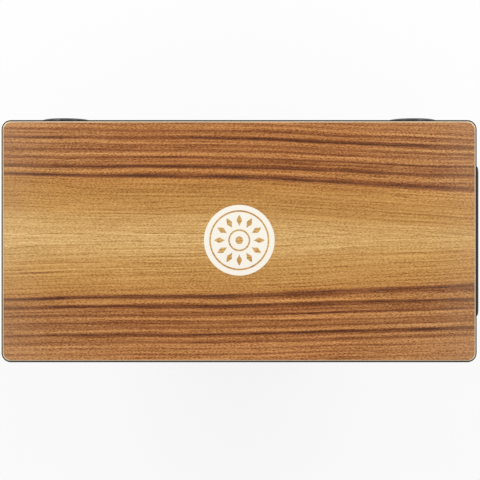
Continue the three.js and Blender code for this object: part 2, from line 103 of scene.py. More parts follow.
class Recipe:
    """A material under construction. Most methods add one node and return its output."""

    def __init__(self, name):
        self.material = bpy.data.materials.new(name)
        self.material.use_nodes = True
        self.tree = self.material.node_tree
        self.surface = self.tree.nodes["Principled BSDF"]
        coordinates = self.add("ShaderNodeTexCoord", output="Object")
        self.place = self.vector("SCALE", coordinates, scale=PER_METRE)

    def add(self, kind, inputs=None, output=0, **settings):
        """Adds a node, sets its options, fills its inputs and hands back one output."""
        node = self.tree.nodes.new(kind)
        for key, value in settings.items():
            setattr(node, key, value)
        for key, value in (inputs or {}).items():
            self.plug(node.inputs[key], value)
        return node.outputs[output]

    def plug(self, socket, value):
        """Joins an input to another node's output, or gives it a plain value."""
        if isinstance(value, bpy.types.NodeSocket):
            self.tree.links.new(value, socket)
        else:
            socket.default_value = value

    def math(self, operation, a, b=0.0, c=0.0, clamp=False):
        """One step of arithmetic with numbers."""
        return self.add("ShaderNodeMath", {0: a, 1: b, 2: c}, operation=operation, use_clamp=clamp)

    def vector(self, operation, a, b=None, scale=None):
        """One step of arithmetic with places, axis by axis."""
        inputs = {0: a}
        if b is not None:
            inputs[1] = b
        if scale is not None:
            inputs["Scale"] = scale
        return self.add("ShaderNodeVectorMath", inputs, operation=operation)

    def blend(self, share, a, b, mode="MIX"):
        """The colour a at a share of 0, which gives way to b as the share goes to 1."""
        key = SOCKETS_OF_MIX
        return self.add(
            "ShaderNodeMix",
            {key["share"]: share, key["a"]: a, key["b"]: b},
            output=key["out"],
            data_type="RGBA",
            blend_type=mode,
        )

    def ease(self, value, start, end, low=0.0, high=1.0):
        """Runs smoothly from low to high while the value goes from start to end."""
        inputs = {"Value": value, 1: start, 2: end, 3: low, 4: high}
        return self.add("ShaderNodeMapRange", inputs, interpolation_type="SMOOTHSTEP")

    def fit(self, value, start, end, low=0.0, high=1.0):
        """Runs in a straight line from low to high while the value goes from start to end."""
        inputs = {"Value": value, 1: start, 2: end, 3: low, 4: high}
        return self.add("ShaderNodeMapRange", inputs, interpolation_type="LINEAR")

    def noise(self, stretch, detail=2.0, roughness=0.5, place=None):
        """Cloudy noise between 0 and 1, with its place multiplied by a stretch for each axis."""
        where = self.vector("MULTIPLY", self.place if place is None else place, stretch)
        inputs = {"Vector": where, "Scale": 1.0, "Detail": detail, "Roughness": roughness}
        return self.add("ShaderNodeTexNoise", inputs)

    def ramp(self, value, stops):
        """Colours or tones at places between 0 and 1, with straight blends between them."""
        output = self.add("ShaderNodeValToRGB", {0: value})
        elements = output.node.color_ramp.elements
        while len(elements) < len(stops):
            elements.new(1.0)
        for element, (place, colour) in zip(elements, stops):
            element.position = place
            element.color = colour
        return output

    def curve(self, value, points, low, high, bottom, top):
        """A smooth curve through given points, from low to high and from bottom to top."""
        output = self.add("ShaderNodeFloatCurve", {"Value": self.fit(value, low, high)})
        curve = output.node.mapping.curves[0]
        scaled = [((x - low) / (high - low), (y - bottom) / (top - bottom)) for x, y in points]
        while len(curve.points) < len(scaled):
            curve.points.new(0.5, 0.5)
        for point, place in zip(curve.points, scaled):
            point.location = place
        output.node.mapping.update()
        return self.fit(output, 0.0, 1.0, bottom, top)

    def set_surface(self, **sockets):
        """Fills sockets of the surface, named in lower case with _ for a space."""
        names = {name.lower().replace(" ", "_"): name for name in self.surface.inputs.keys()}
        for key, value in sockets.items():
            self.plug(self.surface.inputs[names[key]], value)

    def bump(self, height, distance):
        """Turns a height between 0 and 1 into a tilt of the surface, with the depth in metres."""
        inputs = {"Height": height, "Distance": distance, "Strength": 1.0}
        self.plug(self.surface.inputs["Normal"], self.add("ShaderNodeBump", inputs, output="Normal"))

    def finished(self, tone, gloss_noise, roughness, height, depth):
        """The material with a colour, a roughness that follows a noise, and a relief."""
        gloss = self.fit(gloss_noise, *NOISE_REACH, *roughness)
        self.set_surface(base_color=tone, roughness=gloss)
        self.bump(height, depth)
        return self.material


sample_light = srgb(SAMPLE_TONE, SAMPLE_TONE, SAMPLE_TONE)[0]
print("a tone of", SAMPLE_TONE, "out of", FULL_TONE, "is this much light:", round(sample_light, 3))

# %% [markdown]
# A studio for such a picture is plain: a white floor, light from the whole room and two broad
# softboxes behind the drum, one to each side. They light the pale chamfer on the far side of the
# plate more than the one on the near side, and they put a glint on the lips of the two ports. The
# floor and the room look white to the camera and to glossy surfaces by their own colour, so no lamp
# has to be turned up for it, and the floor still shows the drum's shadow.

# %% The studio
ROOM_LIGHT = 0.55
FLOOR_REACH = 6.0
FLOOR_TONE = 0.97
FLOOR_GLOW = 0.86
SOFTBOX_PLACE = (1.15, 0.95, 1.45)
SOFTBOX_SIZE = (0.6, 1.0)
SOFTBOX_WATTS = 12.5
SOFTBOX_SIDES = (-1, 1)


def seen_directly(tree):
    """1 for a ray from the camera, a glossy surface or through glass, and 0 for a ray of light."""
    path = tree.nodes.new("ShaderNodeLightPath")
    total = path.outputs["Is Camera Ray"]
    for kind in ("Is Glossy Ray", "Is Transmission Ray"):
        larger = tree.nodes.new("ShaderNodeMath")
        larger.operation = "MAXIMUM"
        tree.links.new(total, larger.inputs[0])
        tree.links.new(path.outputs[kind], larger.inputs[1])
        total = larger.outputs[0]
    return total


def make_room():
    """A world that looks white, and whose light on the drum is only the room light."""
    world = bpy.data.worlds.new("white_room")
    bpy.context.scene.world = world
    world.use_nodes = True
    tree = world.node_tree
    background = tree.nodes["Background"]
    background.inputs["Color"].default_value = (1, 1, 1, 1)
    strength = tree.nodes.new("ShaderNodeMapRange")
    strength.inputs["To Min"].default_value = ROOM_LIGHT
    tree.links.new(seen_directly(tree), strength.inputs["Value"])
    tree.links.new(strength.outputs[0], background.inputs["Strength"])


def make_floor():
    """A flat square whose light is part its own glow, for the rays that see it, and part reflected."""
    recipe = Recipe("white_floor")
    recipe.set_surface(base_color=(FLOOR_TONE, FLOOR_TONE, FLOOR_TONE, 1), roughness=1.0)
    recipe.set_surface(specular_ior_level=0.0)
    glow = recipe.add("ShaderNodeEmission", output="Emission")
    share = recipe.math("MULTIPLY", seen_directly(recipe.tree), FLOOR_GLOW)
    mixed = recipe.add("ShaderNodeMixShader", {0: share, 1: recipe.surface.outputs[0], 2: glow})
    recipe.plug(recipe.tree.nodes["Material Output"].inputs["Surface"], mixed)
    mesh = bpy.data.meshes.new("floor")
    corners = [(-1, -1), (1, -1), (1, 1), (-1, 1)]
    mesh.from_pydata([(FLOOR_REACH * x, FLOOR_REACH * y, 0) for x, y in corners], [], [range(4)])
    mesh.materials.append(recipe.material)
    floor = bpy.data.objects.new("floor", mesh)
    bpy.context.scene.collection.objects.link(floor)


def make_softbox(side):
    """A rectangle of light behind the drum, to one side, turned towards the plate."""
    data = bpy.data.lights.new("softbox", "AREA")
    data.shape = "RECTANGLE"
    data.size, data.size_y = SOFTBOX_SIZE
    data.energy = SOFTBOX_WATTS
    softbox = bpy.data.objects.new("softbox", data)
    place = Vector(SOFTBOX_PLACE)
    place.x *= side
    softbox.location = place
    softbox.rotation_euler = (Vector((0, 0, plate_top)) - place).to_track_quat("-Z", "Y").to_euler()
    softbox.visible_camera = False
    bpy.context.scene.collection.objects.link(softbox)


bpy.context.scene.view_settings.view_transform = "Standard"
make_room()
make_floor()
for side in SOFTBOX_SIDES:
    make_softbox(side)
print("softboxes:", len(SOFTBOX_SIDES), "room light:", ROOM_LIGHT)

# %% [markdown]
# The face veneer is bookmatched: two sheets sliced one after the other are opened like a book, so
# the stripes are mirrored about a joint. Its pattern is therefore written as a function of two
# lengths, along the plate and away from the joint. A picture could be laid on instead, but a
# pattern from nodes stays sharp at any distance. In this first step the two lengths are bent the
# way the tree bent them: the stripes drift towards the joint at one end, waver slowly, and fray at
# their edges.

# %% Where a point lies in the grain
JOINT_PLACE = 6.1
JOINT_TILT = 1.7
HALF_PLATE = 256.0
DRIFT = (
    (-256, -3.4),
    (-204, -1.8),
    (-150, -0.4),
    (-30, 0.5),
    (24, 1.9),
    (80, 5.0),
    (142, 8.2),
    (197, 11.0),
    (256, 14.0),
)
DRIFT_LIMITS = (-4.0, 16.0)
WAVER = 3.0
WAVER_STRETCH = (0.011, 0.02, 0.0)
FRAY = 1.3
FRAY_STRETCH = (0.09, 1.1, 0.0)
NEAR_HALF_SHIFT = 1.8
SPREAD_FROM, SPREAD_TO, SPREAD_SHARE = 65.0, 74.0, 0.35


def grain_place(recipe):
    """Along, away from the joint, and which half: away = distance to the joint + drift + waver."""
    split = recipe.add("ShaderNodeSeparateXYZ", {0: recipe.place}).node
    along, across = split.outputs["X"], split.outputs["Y"]
    joint = recipe.fit(along, 0.0, HALF_PLATE, JOINT_PLACE, JOINT_PLACE - JOINT_TILT)
    from_joint = recipe.math("SUBTRACT", across, joint)
    far_half = recipe.math("GREATER_THAN", from_joint, 0.0)
    distance = recipe.math("ABSOLUTE", from_joint)
    drift = recipe.curve(along, DRIFT, -HALF_PLATE, HALF_PLATE, *DRIFT_LIMITS)
    waver = recipe.noise(WAVER_STRETCH, detail=1.0)
    fray = recipe.noise(FRAY_STRETCH)
    away = recipe.math("ADD", distance, drift)
    away = recipe.math("ADD", away, recipe.fit(far_half, 0.0, 1.0, -NEAR_HALF_SHIFT, 0.0))
    away = recipe.math("ADD", away, recipe.fit(waver, 0.0, 1.0, -WAVER / 2, WAVER / 2))
    away = recipe.math("ADD", away, recipe.fit(fray, 0.0, 1.0, -FRAY / 2, FRAY / 2))
    spread = recipe.ease(away, SPREAD_FROM, SPREAD_TO, 0.0, SPREAD_SHARE)
    away = recipe.math("SUBTRACT", away, recipe.math("MULTIPLY", spread, drift))
    return along, away, far_half


joint_at_end = round(JOINT_PLACE - JOINT_TILT, 1)
print("the joint in millimetres, in the middle and at the right end:", JOINT_PLACE, joint_at_end)

# %% [markdown]
# The ground colour of the veneer changes slowly from straw in the middle to amber and brown further
# out. A colour ramp over the distance from the joint holds it. On top of it lie the dark growth
# lines of the tree. Each has its place in millimetres, a depth, and the widths over which it fades
# towards the joint and away from it. All but the place are pairs, one value for the left end of the
# plate and one for the right, because a growth line swells and fades along the board. Long thin
# splinters of lighter and darker wood then break the lines up.

# %% The stripes of the veneer
GROUND_REACH = 140.0
GROUND = (
    (0, srgb(213, 169, 106)),
    (8, srgb(211, 166, 101)),
    (18, srgb(206, 160, 95)),
    (28, srgb(194, 143, 77)),
    (43, srgb(188, 135, 70)),
    (58, srgb(184, 128, 65)),
    (70, srgb(192, 134, 75)),
    (82, srgb(180, 122, 70)),
    (88, srgb(192, 134, 78)),
    (96, srgb(176, 119, 68)),
    (101, srgb(190, 132, 77)),
    (109, srgb(180, 122, 70)),
    (117, srgb(187, 128, 74)),
    (130, srgb(183, 124, 71)),
    (140, srgb(184, 126, 73)),
)
BROWN = srgb(144, 87, 45)
DARK = srgb(77, 40, 18)
GROWTH_LINES = (
    {"place": 64.4, "depth": (1.0, 0.84), "inner": (4.0, 4.4), "outer": (3.4, 6.4)},
    {"place": 74.0, "depth": (0.9, 0.84), "inner": (3.2, 3.0), "outer": (5.0, 6.0)},
    {"place": 79.8, "depth": (0.36, 0.5), "inner": (1.8, 1.6), "outer": (1.6, 3.6)},
    {"place": 84.0, "depth": (0.62, 0.76), "inner": (2.3, 2.4), "outer": (3.0, 2.4)},
    {"place": 92.0, "depth": (0.52, 0.46), "inner": (4.0, 2.4), "outer": (3.4, 3.0)},
    {"place": 97.8, "depth": (0.4, 0.56), "inner": (4.0, 4.0), "outer": (2.2, 1.7)},
    {"place": 105.2, "depth": (0.72, 0.98), "inner": (3.6, 3.4), "outer": (4.0, 3.6)},
    {"place": 113.4, "depth": (0.46, 0.6), "inner": (3.4, 4.0), "outer": (3.2, 2.2)},
    {"place": 121.0, "depth": (0.2, 0.34), "inner": (3.0, 3.6), "outer": (2.4, 2.4)},
    {"place": 126.6, "depth": (0.34, 0.34), "inner": (2.6, 2.6), "outer": (2.6, 2.6)},
    {"place": 134.0, "depth": (0.3, 0.3), "inner": (3.0, 3.0), "outer": (2.6, 2.6)},
)
LEFT_VALUES_AT, RIGHT_VALUES_AT = -150.0, 110.0
PATCH_STRETCH = (0.02, 0.012, 0.0)
PATCH_STEP = 37.0
PATCH_EDGES = (0.25, 0.7)
PATCH_SHARES = (0.8, 1.12)


def growth_line(recipe, along, away, line):
    """How dark one growth line is: its depth times a smooth fall over its own side's width."""

    def change(pair):
        return recipe.fit(along, LEFT_VALUES_AT, RIGHT_VALUES_AT, *pair)

    offset = recipe.math("SUBTRACT", away, line["place"])
    outwards = recipe.math("GREATER_THAN", offset, 0.0)
    widths = {2: change(line["inner"]), 3: change(line["outer"])}
    width = recipe.add("ShaderNodeMix", {0: outwards, **widths})
    share = recipe.math("DIVIDE", recipe.math("ABSOLUTE", offset), width)
    core = recipe.math("MULTIPLY", recipe.ease(share, 0.0, 1.0, 1.0, 0.0), change(line["depth"]))
    own_place = recipe.vector("ADD", recipe.place, (PATCH_STEP * line["place"], 0.0, 0.0))
    patchy = recipe.noise(PATCH_STRETCH, place=own_place)
    return recipe.math("MULTIPLY", core, recipe.ease(patchy, *PATCH_EDGES, *PATCH_SHARES))


print("growth lines on each side of the joint:", len(GROWTH_LINES))

# %% [markdown]
# Between the big stripes the wood is alive with finer things. A tree ring shows as a thin line with
# one sharp side about every five millimetres. Long streaks are the fibres, and short dashes are the
# pores, which are slid along the grain so that they don't line up across it. A ridge is a noise less
# the same noise a little further out, so that each dark streak has a light one beside it. The brown
# bands have more contrast than the pale field, and smudges of their own, and they are redder in the
# middle of the board than at its ends. Broad clouds, listed one by one, make the wood lighter or
# darker in soft patches.
#
# All of them are added up to one number, and the colour is multiplied by its exponential, with
# more weight on green and blue, because darker wood is redder wood. Taking a little of the
# number's square away makes the dark marks deeper than the light ones are bright.

# %% The fine grain of the veneer
RING_WIDTH = 5.4
RING_WANDER = 2.6
RING_LINE = 0.22
RING_DEPTH = (0.06, 0.42)
RING_WANDER_STRETCH = (0.005, 0.035, 0.01)
RING_BREAK_STRETCH = (0.03, 0.2, 0.01)
RING_BREAK_EDGES = (0.35, 0.62)
FIBRES = (
    {"stretch": (0.005, 0.48, 0.01), "weight": 0.5},
    {"stretch": (0.07, 1.25, 0.01), "weight": 0.5},
)
DASH_STRETCH = (0.42, 1.5, 0.01)
DASH_WEIGHT = 1.6
DASH_SLANT = 1.8
DASHES_FROM, DASHES_TO, DASHES_GAIN = 15.0, 55.0, 1.3
RIDGE_STRETCH = (0.007, 0.95, 0.01)
RIDGE_WIDTH = 2.2
RIDGE_WEIGHT = 0.72
FIBRE_BITE = 0.7
BANDS_GAIN = 1.45
NEAR_SHEET_LIFT = (
    (0, 0.02),
    (20, 0.03),
    (32, 0.075),
    (50, 0.085),
    (60, 0.03),
    (72, -0.01),
    (108, 0.0),
    (120, 0.07),
    (140, 0.08),
)
LIFT_LIMITS = (-0.05, 0.1)
BLOTCH_WEIGHT, BLOTCH_STRETCH = 0.3, (0.012, 0.05, 0.01)
SMUDGE_WEIGHT, SMUDGE_STRETCH = 0.4, (0.018, 0.24, 0.01)
CLOUDS = (
    {"place": (235, 47), "half": (110, 22), "lift": 0.15},
    {"place": (85, 107), "half": (100, 13), "lift": -0.08},
    {"place": (-120, 112), "half": (90, 13), "lift": -0.06},
    {"place": (-85, 82), "half": (110, 17), "lift": -0.055},
    {"place": (20, 96), "half": (170, 45), "lift": -0.06},
    {"place": (30, -112), "half": (150, 22), "lift": 0.05},
    {"place": (225, -50), "half": (80, 9), "lift": 0.11},
    {"place": (-20, -62), "half": (130, 10), "lift": 0.045},
    {"place": (-130, -32), "half": (75, 22), "lift": 0.08},
    {"place": (65, 34), "half": (80, 20), "lift": -0.08},
    {"place": (-65, 34), "half": (65, 20), "lift": -0.06},
    {"place": (-245, 3), "half": (45, 18), "lift": 0.06},
    {"place": (251, -84), "half": (50, 10), "lift": -0.07},
    {"place": (251, -125), "half": (60, 8), "lift": -0.14},
    {"place": (160, -113), "half": (130, 7), "lift": 0.06},
    {"place": (217, 73), "half": (60, 8), "lift": -0.055},
    {"place": (240, 108), "half": (60, 13), "lift": -0.05},
)


def ring_lines(recipe, grain_at, away):
    """A sawtooth over the distance from the joint. Each tooth has a depth of its own, by its number."""
    wander = recipe.noise(RING_WANDER_STRETCH, place=grain_at)
    count = recipe.math("DIVIDE", away, RING_WIDTH)
    count = recipe.math("ADD", count, recipe.fit(wander, 0.0, 1.0, -RING_WANDER, RING_WANDER))
    line = recipe.ease(recipe.math("FRACT", count), 0.0, RING_LINE, 1.0, 0.0)
    number = recipe.math("FLOOR", count)
    own = recipe.add("ShaderNodeTexWhiteNoise", {"W": number}, noise_dimensions="1D")
    broken = recipe.ease(recipe.noise(RING_BREAK_STRETCH, place=grain_at), *RING_BREAK_EDGES)
    depth = recipe.math("MULTIPLY", broken, recipe.fit(own, 0.0, 1.0, *RING_DEPTH))
    return recipe.math("MULTIPLY", line, depth)


def cloudy_lift(recipe):
    """The sum over the clouds of lift times a smooth fall from the middle of an ellipse to its edge."""
    total = 0.0
    for cloud in CLOUDS:
        from_middle = recipe.vector("SUBTRACT", recipe.place, (*cloud["place"], 0.0))
        shares = [1 / half for half in cloud["half"]]
        scaled = recipe.vector("MULTIPLY", from_middle, (*shares, 0.0))
        reach = recipe.add("ShaderNodeVectorMath", {0: scaled}, output="Value", operation="LENGTH")
        total = recipe.math("ADD", total, recipe.ease(reach, 0.0, 1.0, cloud["lift"], 0.0))
    return total


def swing(recipe, stretch, weight, place, detail=1.0):
    """Noise that swings about zero, from minus half the weight to plus half of it."""
    noise = recipe.noise(stretch, detail=detail, place=place)
    return recipe.fit(noise, 0.0, 1.0, -weight / 2, weight / 2)


def fine_grain(recipe, away, far_half, grain_at, bands):
    """One number for all that is finer than the stripes: below zero is darker, above it lighter."""
    fine = swing(recipe, BLOTCH_STRETCH, BLOTCH_WEIGHT, grain_at, detail=2.0)
    for kind in FIBRES:
        fine = recipe.math("ADD", fine, swing(recipe, kind["stretch"], kind["weight"], grain_at))
    slide = recipe.add("ShaderNodeCombineXYZ", {0: recipe.math("MULTIPLY", away, DASH_SLANT)})
    slanted = recipe.vector("ADD", grain_at, slide)
    dashes = swing(recipe, DASH_STRETCH, DASH_WEIGHT, slanted)
    gain = recipe.ease(away, DASHES_FROM, DASHES_TO, 1.0, DASHES_GAIN)
    fine = recipe.math("ADD", fine, recipe.math("MULTIPLY", dashes, gain))
    beside = recipe.vector("ADD", grain_at, (0.0, RIDGE_WIDTH, 0.0))
    ridges = [recipe.noise(RIDGE_STRETCH, detail=1.0, place=where) for where in (grain_at, beside)]
    ridge = recipe.math("MULTIPLY", recipe.math("SUBTRACT", *ridges), RIDGE_WEIGHT)
    fine = recipe.math("ADD", fine, ridge)
    fine = recipe.math("SUBTRACT", fine, ring_lines(recipe, grain_at, away))
    fine = recipe.math("MULTIPLY", fine, recipe.fit(bands, 0.0, 1.0, 1.0, BANDS_GAIN))
    smudges = swing(recipe, SMUDGE_STRETCH, SMUDGE_WEIGHT, grain_at, detail=2.0)
    fine = recipe.math("ADD", fine, recipe.math("MULTIPLY", smudges, bands))
    bite = recipe.math("MULTIPLY", recipe.math("MULTIPLY", fine, fine), FIBRE_BITE)
    fine = recipe.math("SUBTRACT", fine, bite)
    lift = recipe.curve(away, NEAR_SHEET_LIFT, 0.0, GROUND_REACH, *LIFT_LIMITS)
    lift = recipe.math("MULTIPLY", lift, recipe.math("SUBTRACT", 1.0, far_half))
    return recipe.math("ADD", fine, recipe.math("ADD", lift, cloudy_lift(recipe)))


print("clouds:", len(CLOUDS), "kinds of fibre:", len(FIBRES))

# %% The colour of the wood
HALF_APART = 400.0
SPLINTER_STRETCH = (0.016, 1.2, 0.01)
SPLINTER_SHARES = (0.62, 1.3)
BROWN_AT = 0.5
BANDS_FROM, BANDS_TO = 48.0, 76.0
TINT = (0.95, 1.35, 1.95)
WARM_REACH = (90.0, 200.0)
WARM_TINT = (1.0, 0.93, 0.83, 1.0)
# A painted sheen over both ends of the plate: over this reach the growth lines fade and the colour goes
# towards a pale grey.
END_SHEEN_FADE = (190.0, 262.0)
END_SHEEN_DARK_SHARE = 0.85
END_SHEEN_SHARE = 0.12
END_SHEEN_TONE = srgb(205, 178, 146)


def veneer_colour(recipe):
    """Ground, growth lines, fine grain and a painted sheen at the ends in one colour, and the fine
    grain's number for the gloss.
    """
    along, away, far_half = grain_place(recipe)
    half = recipe.fit(far_half, 0.0, 1.0, 0.0, HALF_APART)
    grain_at = recipe.add("ShaderNodeCombineXYZ", {0: along, 1: away, 2: half})
    share = recipe.math("DIVIDE", away, GROUND_REACH)
    ground = recipe.ramp(share, [(place / GROUND_REACH, colour) for place, colour in GROUND])
    dark = 0.0
    for line in GROWTH_LINES:
        dark = recipe.math("MAXIMUM", dark, growth_line(recipe, along, away, line))
    splinters = recipe.noise(SPLINTER_STRETCH, place=grain_at)
    dark = recipe.math("MULTIPLY", dark, recipe.fit(splinters, *NOISE_REACH, *SPLINTER_SHARES))
    # Painted sheen towards both ends of the plate: lighter growth lines and a blend towards pale grey.
    end = recipe.ease(recipe.math("ABSOLUTE", along), *END_SHEEN_FADE)
    dark = recipe.math("MULTIPLY", dark, recipe.fit(end, 0.0, 1.0, 1.0, END_SHEEN_DARK_SHARE), clamp=True)
    tone = recipe.blend(recipe.fit(dark, 0.0, BROWN_AT), ground, BROWN)
    tone = recipe.blend(recipe.fit(dark, BROWN_AT, 1.0), tone, DARK)

    bands = recipe.ease(away, BANDS_FROM, BANDS_TO)
    fine = fine_grain(recipe, away, far_half, grain_at, bands)
    parts = [recipe.math("EXPONENT", recipe.math("MULTIPLY", fine, weight)) for weight in TINT]
    tint = recipe.add("ShaderNodeCombineXYZ", dict(enumerate(parts)))
    tone = recipe.blend(1.0, tone, tint, mode="MULTIPLY")
    middle = recipe.ease(recipe.math("ABSOLUTE", along), *WARM_REACH, 1.0, 0.0)
    tone = recipe.blend(recipe.math("MULTIPLY", middle, bands), tone, WARM_TINT, mode="MULTIPLY")
    tone = recipe.blend(recipe.math("MULTIPLY", end, END_SHEEN_SHARE), tone, END_SHEEN_TONE)
    return tone, fine


print("the brown bands begin this far from the joint:", BANDS_FROM)

# %% [markdown]
# A disc is printed in the middle of the plate in cream ink. A plain rosette is left open in it, so
# that the wood shows through: a ring near the edge, a wreath of lozenges and a smaller ring round a
# dot. It is drawn in the same shader from the distance and the angle about the disc's centre,
# because print has no thickness that would need a mesh.

# %% The printed disc
DISC_CENTRE = (0.2, 1.0, 0.0)
DISC_RADIUS = 38.1
INK_EDGE = 0.12
OUTER_RING = (31.5, 0.9)
INNER_RING = (11.0, 0.9)
CENTRE_DOT = 4.2
LOZENGES = 12
LOZENGE_RADIUS = 21.3
LOZENGE_HALF = (6.2, 3.1)
LOZENGE_EDGE = 0.04


def printed_disc(recipe):
    """1 where the ink lies. Rings go by the distance from the centre, lozenges by the angle too."""
    flat = recipe.vector("MULTIPLY", recipe.place, (1.0, 1.0, 0.0))
    from_centre = recipe.vector("SUBTRACT", flat, DISC_CENTRE)
    radius = recipe.add("ShaderNodeVectorMath", {0: from_centre}, output="Value", operation="LENGTH")
    split = recipe.add("ShaderNodeSeparateXYZ", {0: from_centre}).node
    angle = recipe.math("ARCTAN2", split.outputs["Y"], split.outputs["X"])

    def edge(distance, limit, soft=INK_EDGE):
        return recipe.ease(distance, limit - soft, limit + soft, 1.0, 0.0)

    def ring(middle, half):
        return edge(recipe.math("ABSOLUTE", recipe.math("SUBTRACT", radius, middle)), half)

    turns = recipe.math("MULTIPLY", angle, LOZENGES / (2 * math.pi))
    off_turn = recipe.math("SUBTRACT", turns, recipe.math("ROUND", turns))
    sideways = recipe.math("MULTIPLY", off_turn, 2 * math.pi * LOZENGE_RADIUS / LOZENGES)
    outwards = recipe.math("SUBTRACT", radius, LOZENGE_RADIUS)
    lozenge = recipe.math(
        "ADD",
        recipe.math("ABSOLUTE", recipe.math("DIVIDE", outwards, LOZENGE_HALF[0])),
        recipe.math("ABSOLUTE", recipe.math("DIVIDE", sideways, LOZENGE_HALF[1])),
    )
    opened = edge(lozenge, 1.0, LOZENGE_EDGE)
    for shape in (ring(*OUTER_RING), ring(*INNER_RING), edge(radius, CENTRE_DOT)):
        opened = recipe.math("MAXIMUM", opened, shape)
    return recipe.math("MULTIPLY", edge(radius, DISC_RADIUS), recipe.math("SUBTRACT", 1.0, opened))


print("disc across, in millimetres:", 2 * DISC_RADIUS, "lozenges:", LOZENGES)

# %% The finished veneer
INK = srgb(254, 249, 236)
FINE_REACH = (-0.4, 0.4)
INK_COVER = (0.95, 1.0)
INK_ROUGHNESS = 0.5
VENEER_ROUGHNESS = (0.46, 0.36)
VENEER_GLOSS = 0.2
RELIEF_REACH = (-0.5, 0.5)
RELIEF_DEPTH = 0.03 * MM


def make_veneer():
    """The wood, the ink over it, and the gloss and the tiny relief of the grain under the lacquer."""
    recipe = Recipe("striped_veneer")
    wood, fine = veneer_colour(recipe)
    ink = printed_disc(recipe)
    inked = recipe.blend(recipe.fit(fine, *FINE_REACH, *INK_COVER), wood, INK)
    recipe.set_surface(base_color=recipe.blend(ink, wood, inked), specular_ior_level=VENEER_GLOSS)
    gloss = recipe.fit(fine, *FINE_REACH, *VENEER_ROUGHNESS)
    recipe.set_surface(roughness=recipe.fit(ink, 0.0, 1.0, gloss, INK_ROUGHNESS))
    recipe.bump(recipe.fit(fine, *RELIEF_REACH), RELIEF_DEPTH)
    return recipe.material


veneer = make_veneer()
print("nodes in the veneer:", len(veneer.node_tree.nodes))

# %% [markdown]
# The other finishes are simpler, but none is one flat colour. Plywood shows its plies on the sanded
# chamfer. Black lacquer lies on wood, so it has the faint ripple of a sprayed coat and a trace of
# the grain below. Moulded plastic is glossy on the ports and grained on the handle, rubber is dull
# and dusty, and steel has fine scratches. Bare wood has its grain along the piece, so there is one
# spruce for each direction.

# %% Plywood
PLY = 1.3
PALE_PLY, CROSS_PLY, GLUE = srgb(250, 238, 212), srgb(232, 210, 174), srgb(160, 124, 86)
GLUE_SHARE, GLUE_DARK = 0.1, 0.55
PORE_STRETCH = (0.5, 0.5, 2.2)
PORE_EDGES, PORE_DARK = (0.35, 0.7), 0.22
PLY_ROUGHNESS = (0.5, 0.62)
PLY_RELIEF = 0.03 * MM


def make_plywood():
    """Plies of one thickness by height. Every second one shows its end grain and is darker."""
    recipe = Recipe("sanded_plywood")
    height = recipe.add("ShaderNodeSeparateXYZ", {0: recipe.place}, output="Z")
    count = recipe.math("DIVIDE", recipe.math("SUBTRACT", height, plate_top * PER_METRE), PLY)
    crossed = recipe.math("MODULO", recipe.math("ABSOLUTE", recipe.math("FLOOR", count)), 2.0)
    pores = recipe.noise(PORE_STRETCH, detail=3.0)
    tone = recipe.blend(recipe.math("SUBTRACT", 1.0, crossed), CROSS_PLY, PALE_PLY)
    seam = recipe.math("PINGPONG", count, 0.5)
    tone = recipe.blend(recipe.ease(seam, 0.0, GLUE_SHARE, GLUE_DARK, 0.0), tone, GLUE)
    tone = recipe.blend(recipe.ease(pores, *PORE_EDGES, PORE_DARK, 0.0), tone, GLUE)
    return recipe.finished(tone, pores, PLY_ROUGHNESS, pores, PLY_RELIEF)


plywood = make_plywood()
print("thickness of a ply in millimetres:", PLY)

# %% Bare wood
GRAIN_ALONG, GRAIN_ACROSS = 0.012, 0.25
LATE_EDGES = (0.42, 0.62)
FUZZ_FINER = 6
FUZZ_EDGES, FUZZ_DARK = (0.4, 0.7), 0.25
BARE_RELIEF = 0.08 * MM
BIRCH = {"light": srgb(222, 198, 158), "dark": srgb(196, 164, 118), "roughness": 0.7}
SPRUCE = {"light": srgb(218, 184, 134), "dark": srgb(178, 130, 78), "roughness": 0.75}


def make_bare_wood(name, stretch, light, dark, roughness):
    """Unfinished wood: pale ground, darker late wood in long streaks, and a fine fuzz of fibres."""
    recipe = Recipe(name)
    late = recipe.noise(stretch, detail=3.0, roughness=0.6)
    fuzz = recipe.noise(FUZZ_FINER * stretch, detail=2.0)
    tone = recipe.blend(recipe.ease(late, *LATE_EDGES), light, dark)
    tone = recipe.blend(recipe.ease(fuzz, *FUZZ_EDGES, FUZZ_DARK, 0.0), tone, dark)
    recipe.set_surface(base_color=tone, roughness=roughness)
    recipe.bump(recipe.math("ADD", late, fuzz), BARE_RELIEF)
    return recipe.material


stretches = np.where(np.eye(3), GRAIN_ALONG, GRAIN_ACROSS)
raw_panel = make_bare_wood("raw_birch", stretches[0], **BIRCH)
spruce_along = [
    make_bare_wood(f"spruce_along_{axis}", stretch, **SPRUCE) for axis, stretch in zip("xyz", stretches)
]
print("bare woods:", [material.name for material in (raw_panel, *spruce_along)])

# %% Black lacquer
LACQUER_TONES = srgb(17, 17, 18), srgb(27, 27, 28)
LACQUER_GLOSS = 0.3
LACQUER_ROUGHNESS = (0.41, 0.47)
RIPPLE_STRETCH = (0.55, 0.55, 0.55)
WOOD_BELOW_STRETCH, WOOD_BELOW_SHARE = (0.03, 0.7, 0.7), 0.6
SPRAY_STRETCH = (0.02, 0.02, 0.02)
LACQUER_RELIEF = 0.06 * MM


def make_lacquer():
    """Sprayed black: a slow ripple, a trace of grain below it, and gloss that varies a little."""
    recipe = Recipe("black_lacquer")
    ripple = recipe.noise(RIPPLE_STRETCH, detail=1.0)
    wood_below = recipe.noise(WOOD_BELOW_STRETCH, detail=3.0)
    spray = recipe.noise(SPRAY_STRETCH, detail=3.0)
    recipe.set_surface(specular_ior_level=LACQUER_GLOSS)
    height = recipe.math("MULTIPLY_ADD", wood_below, WOOD_BELOW_SHARE, ripple)
    return recipe.finished(
        recipe.blend(spray, *LACQUER_TONES), spray, LACQUER_ROUGHNESS, height, LACQUER_RELIEF
    )


lacquer = make_lacquer()
print("ripples of the lacquer in a centimetre:", 10 * RIPPLE_STRETCH[0])
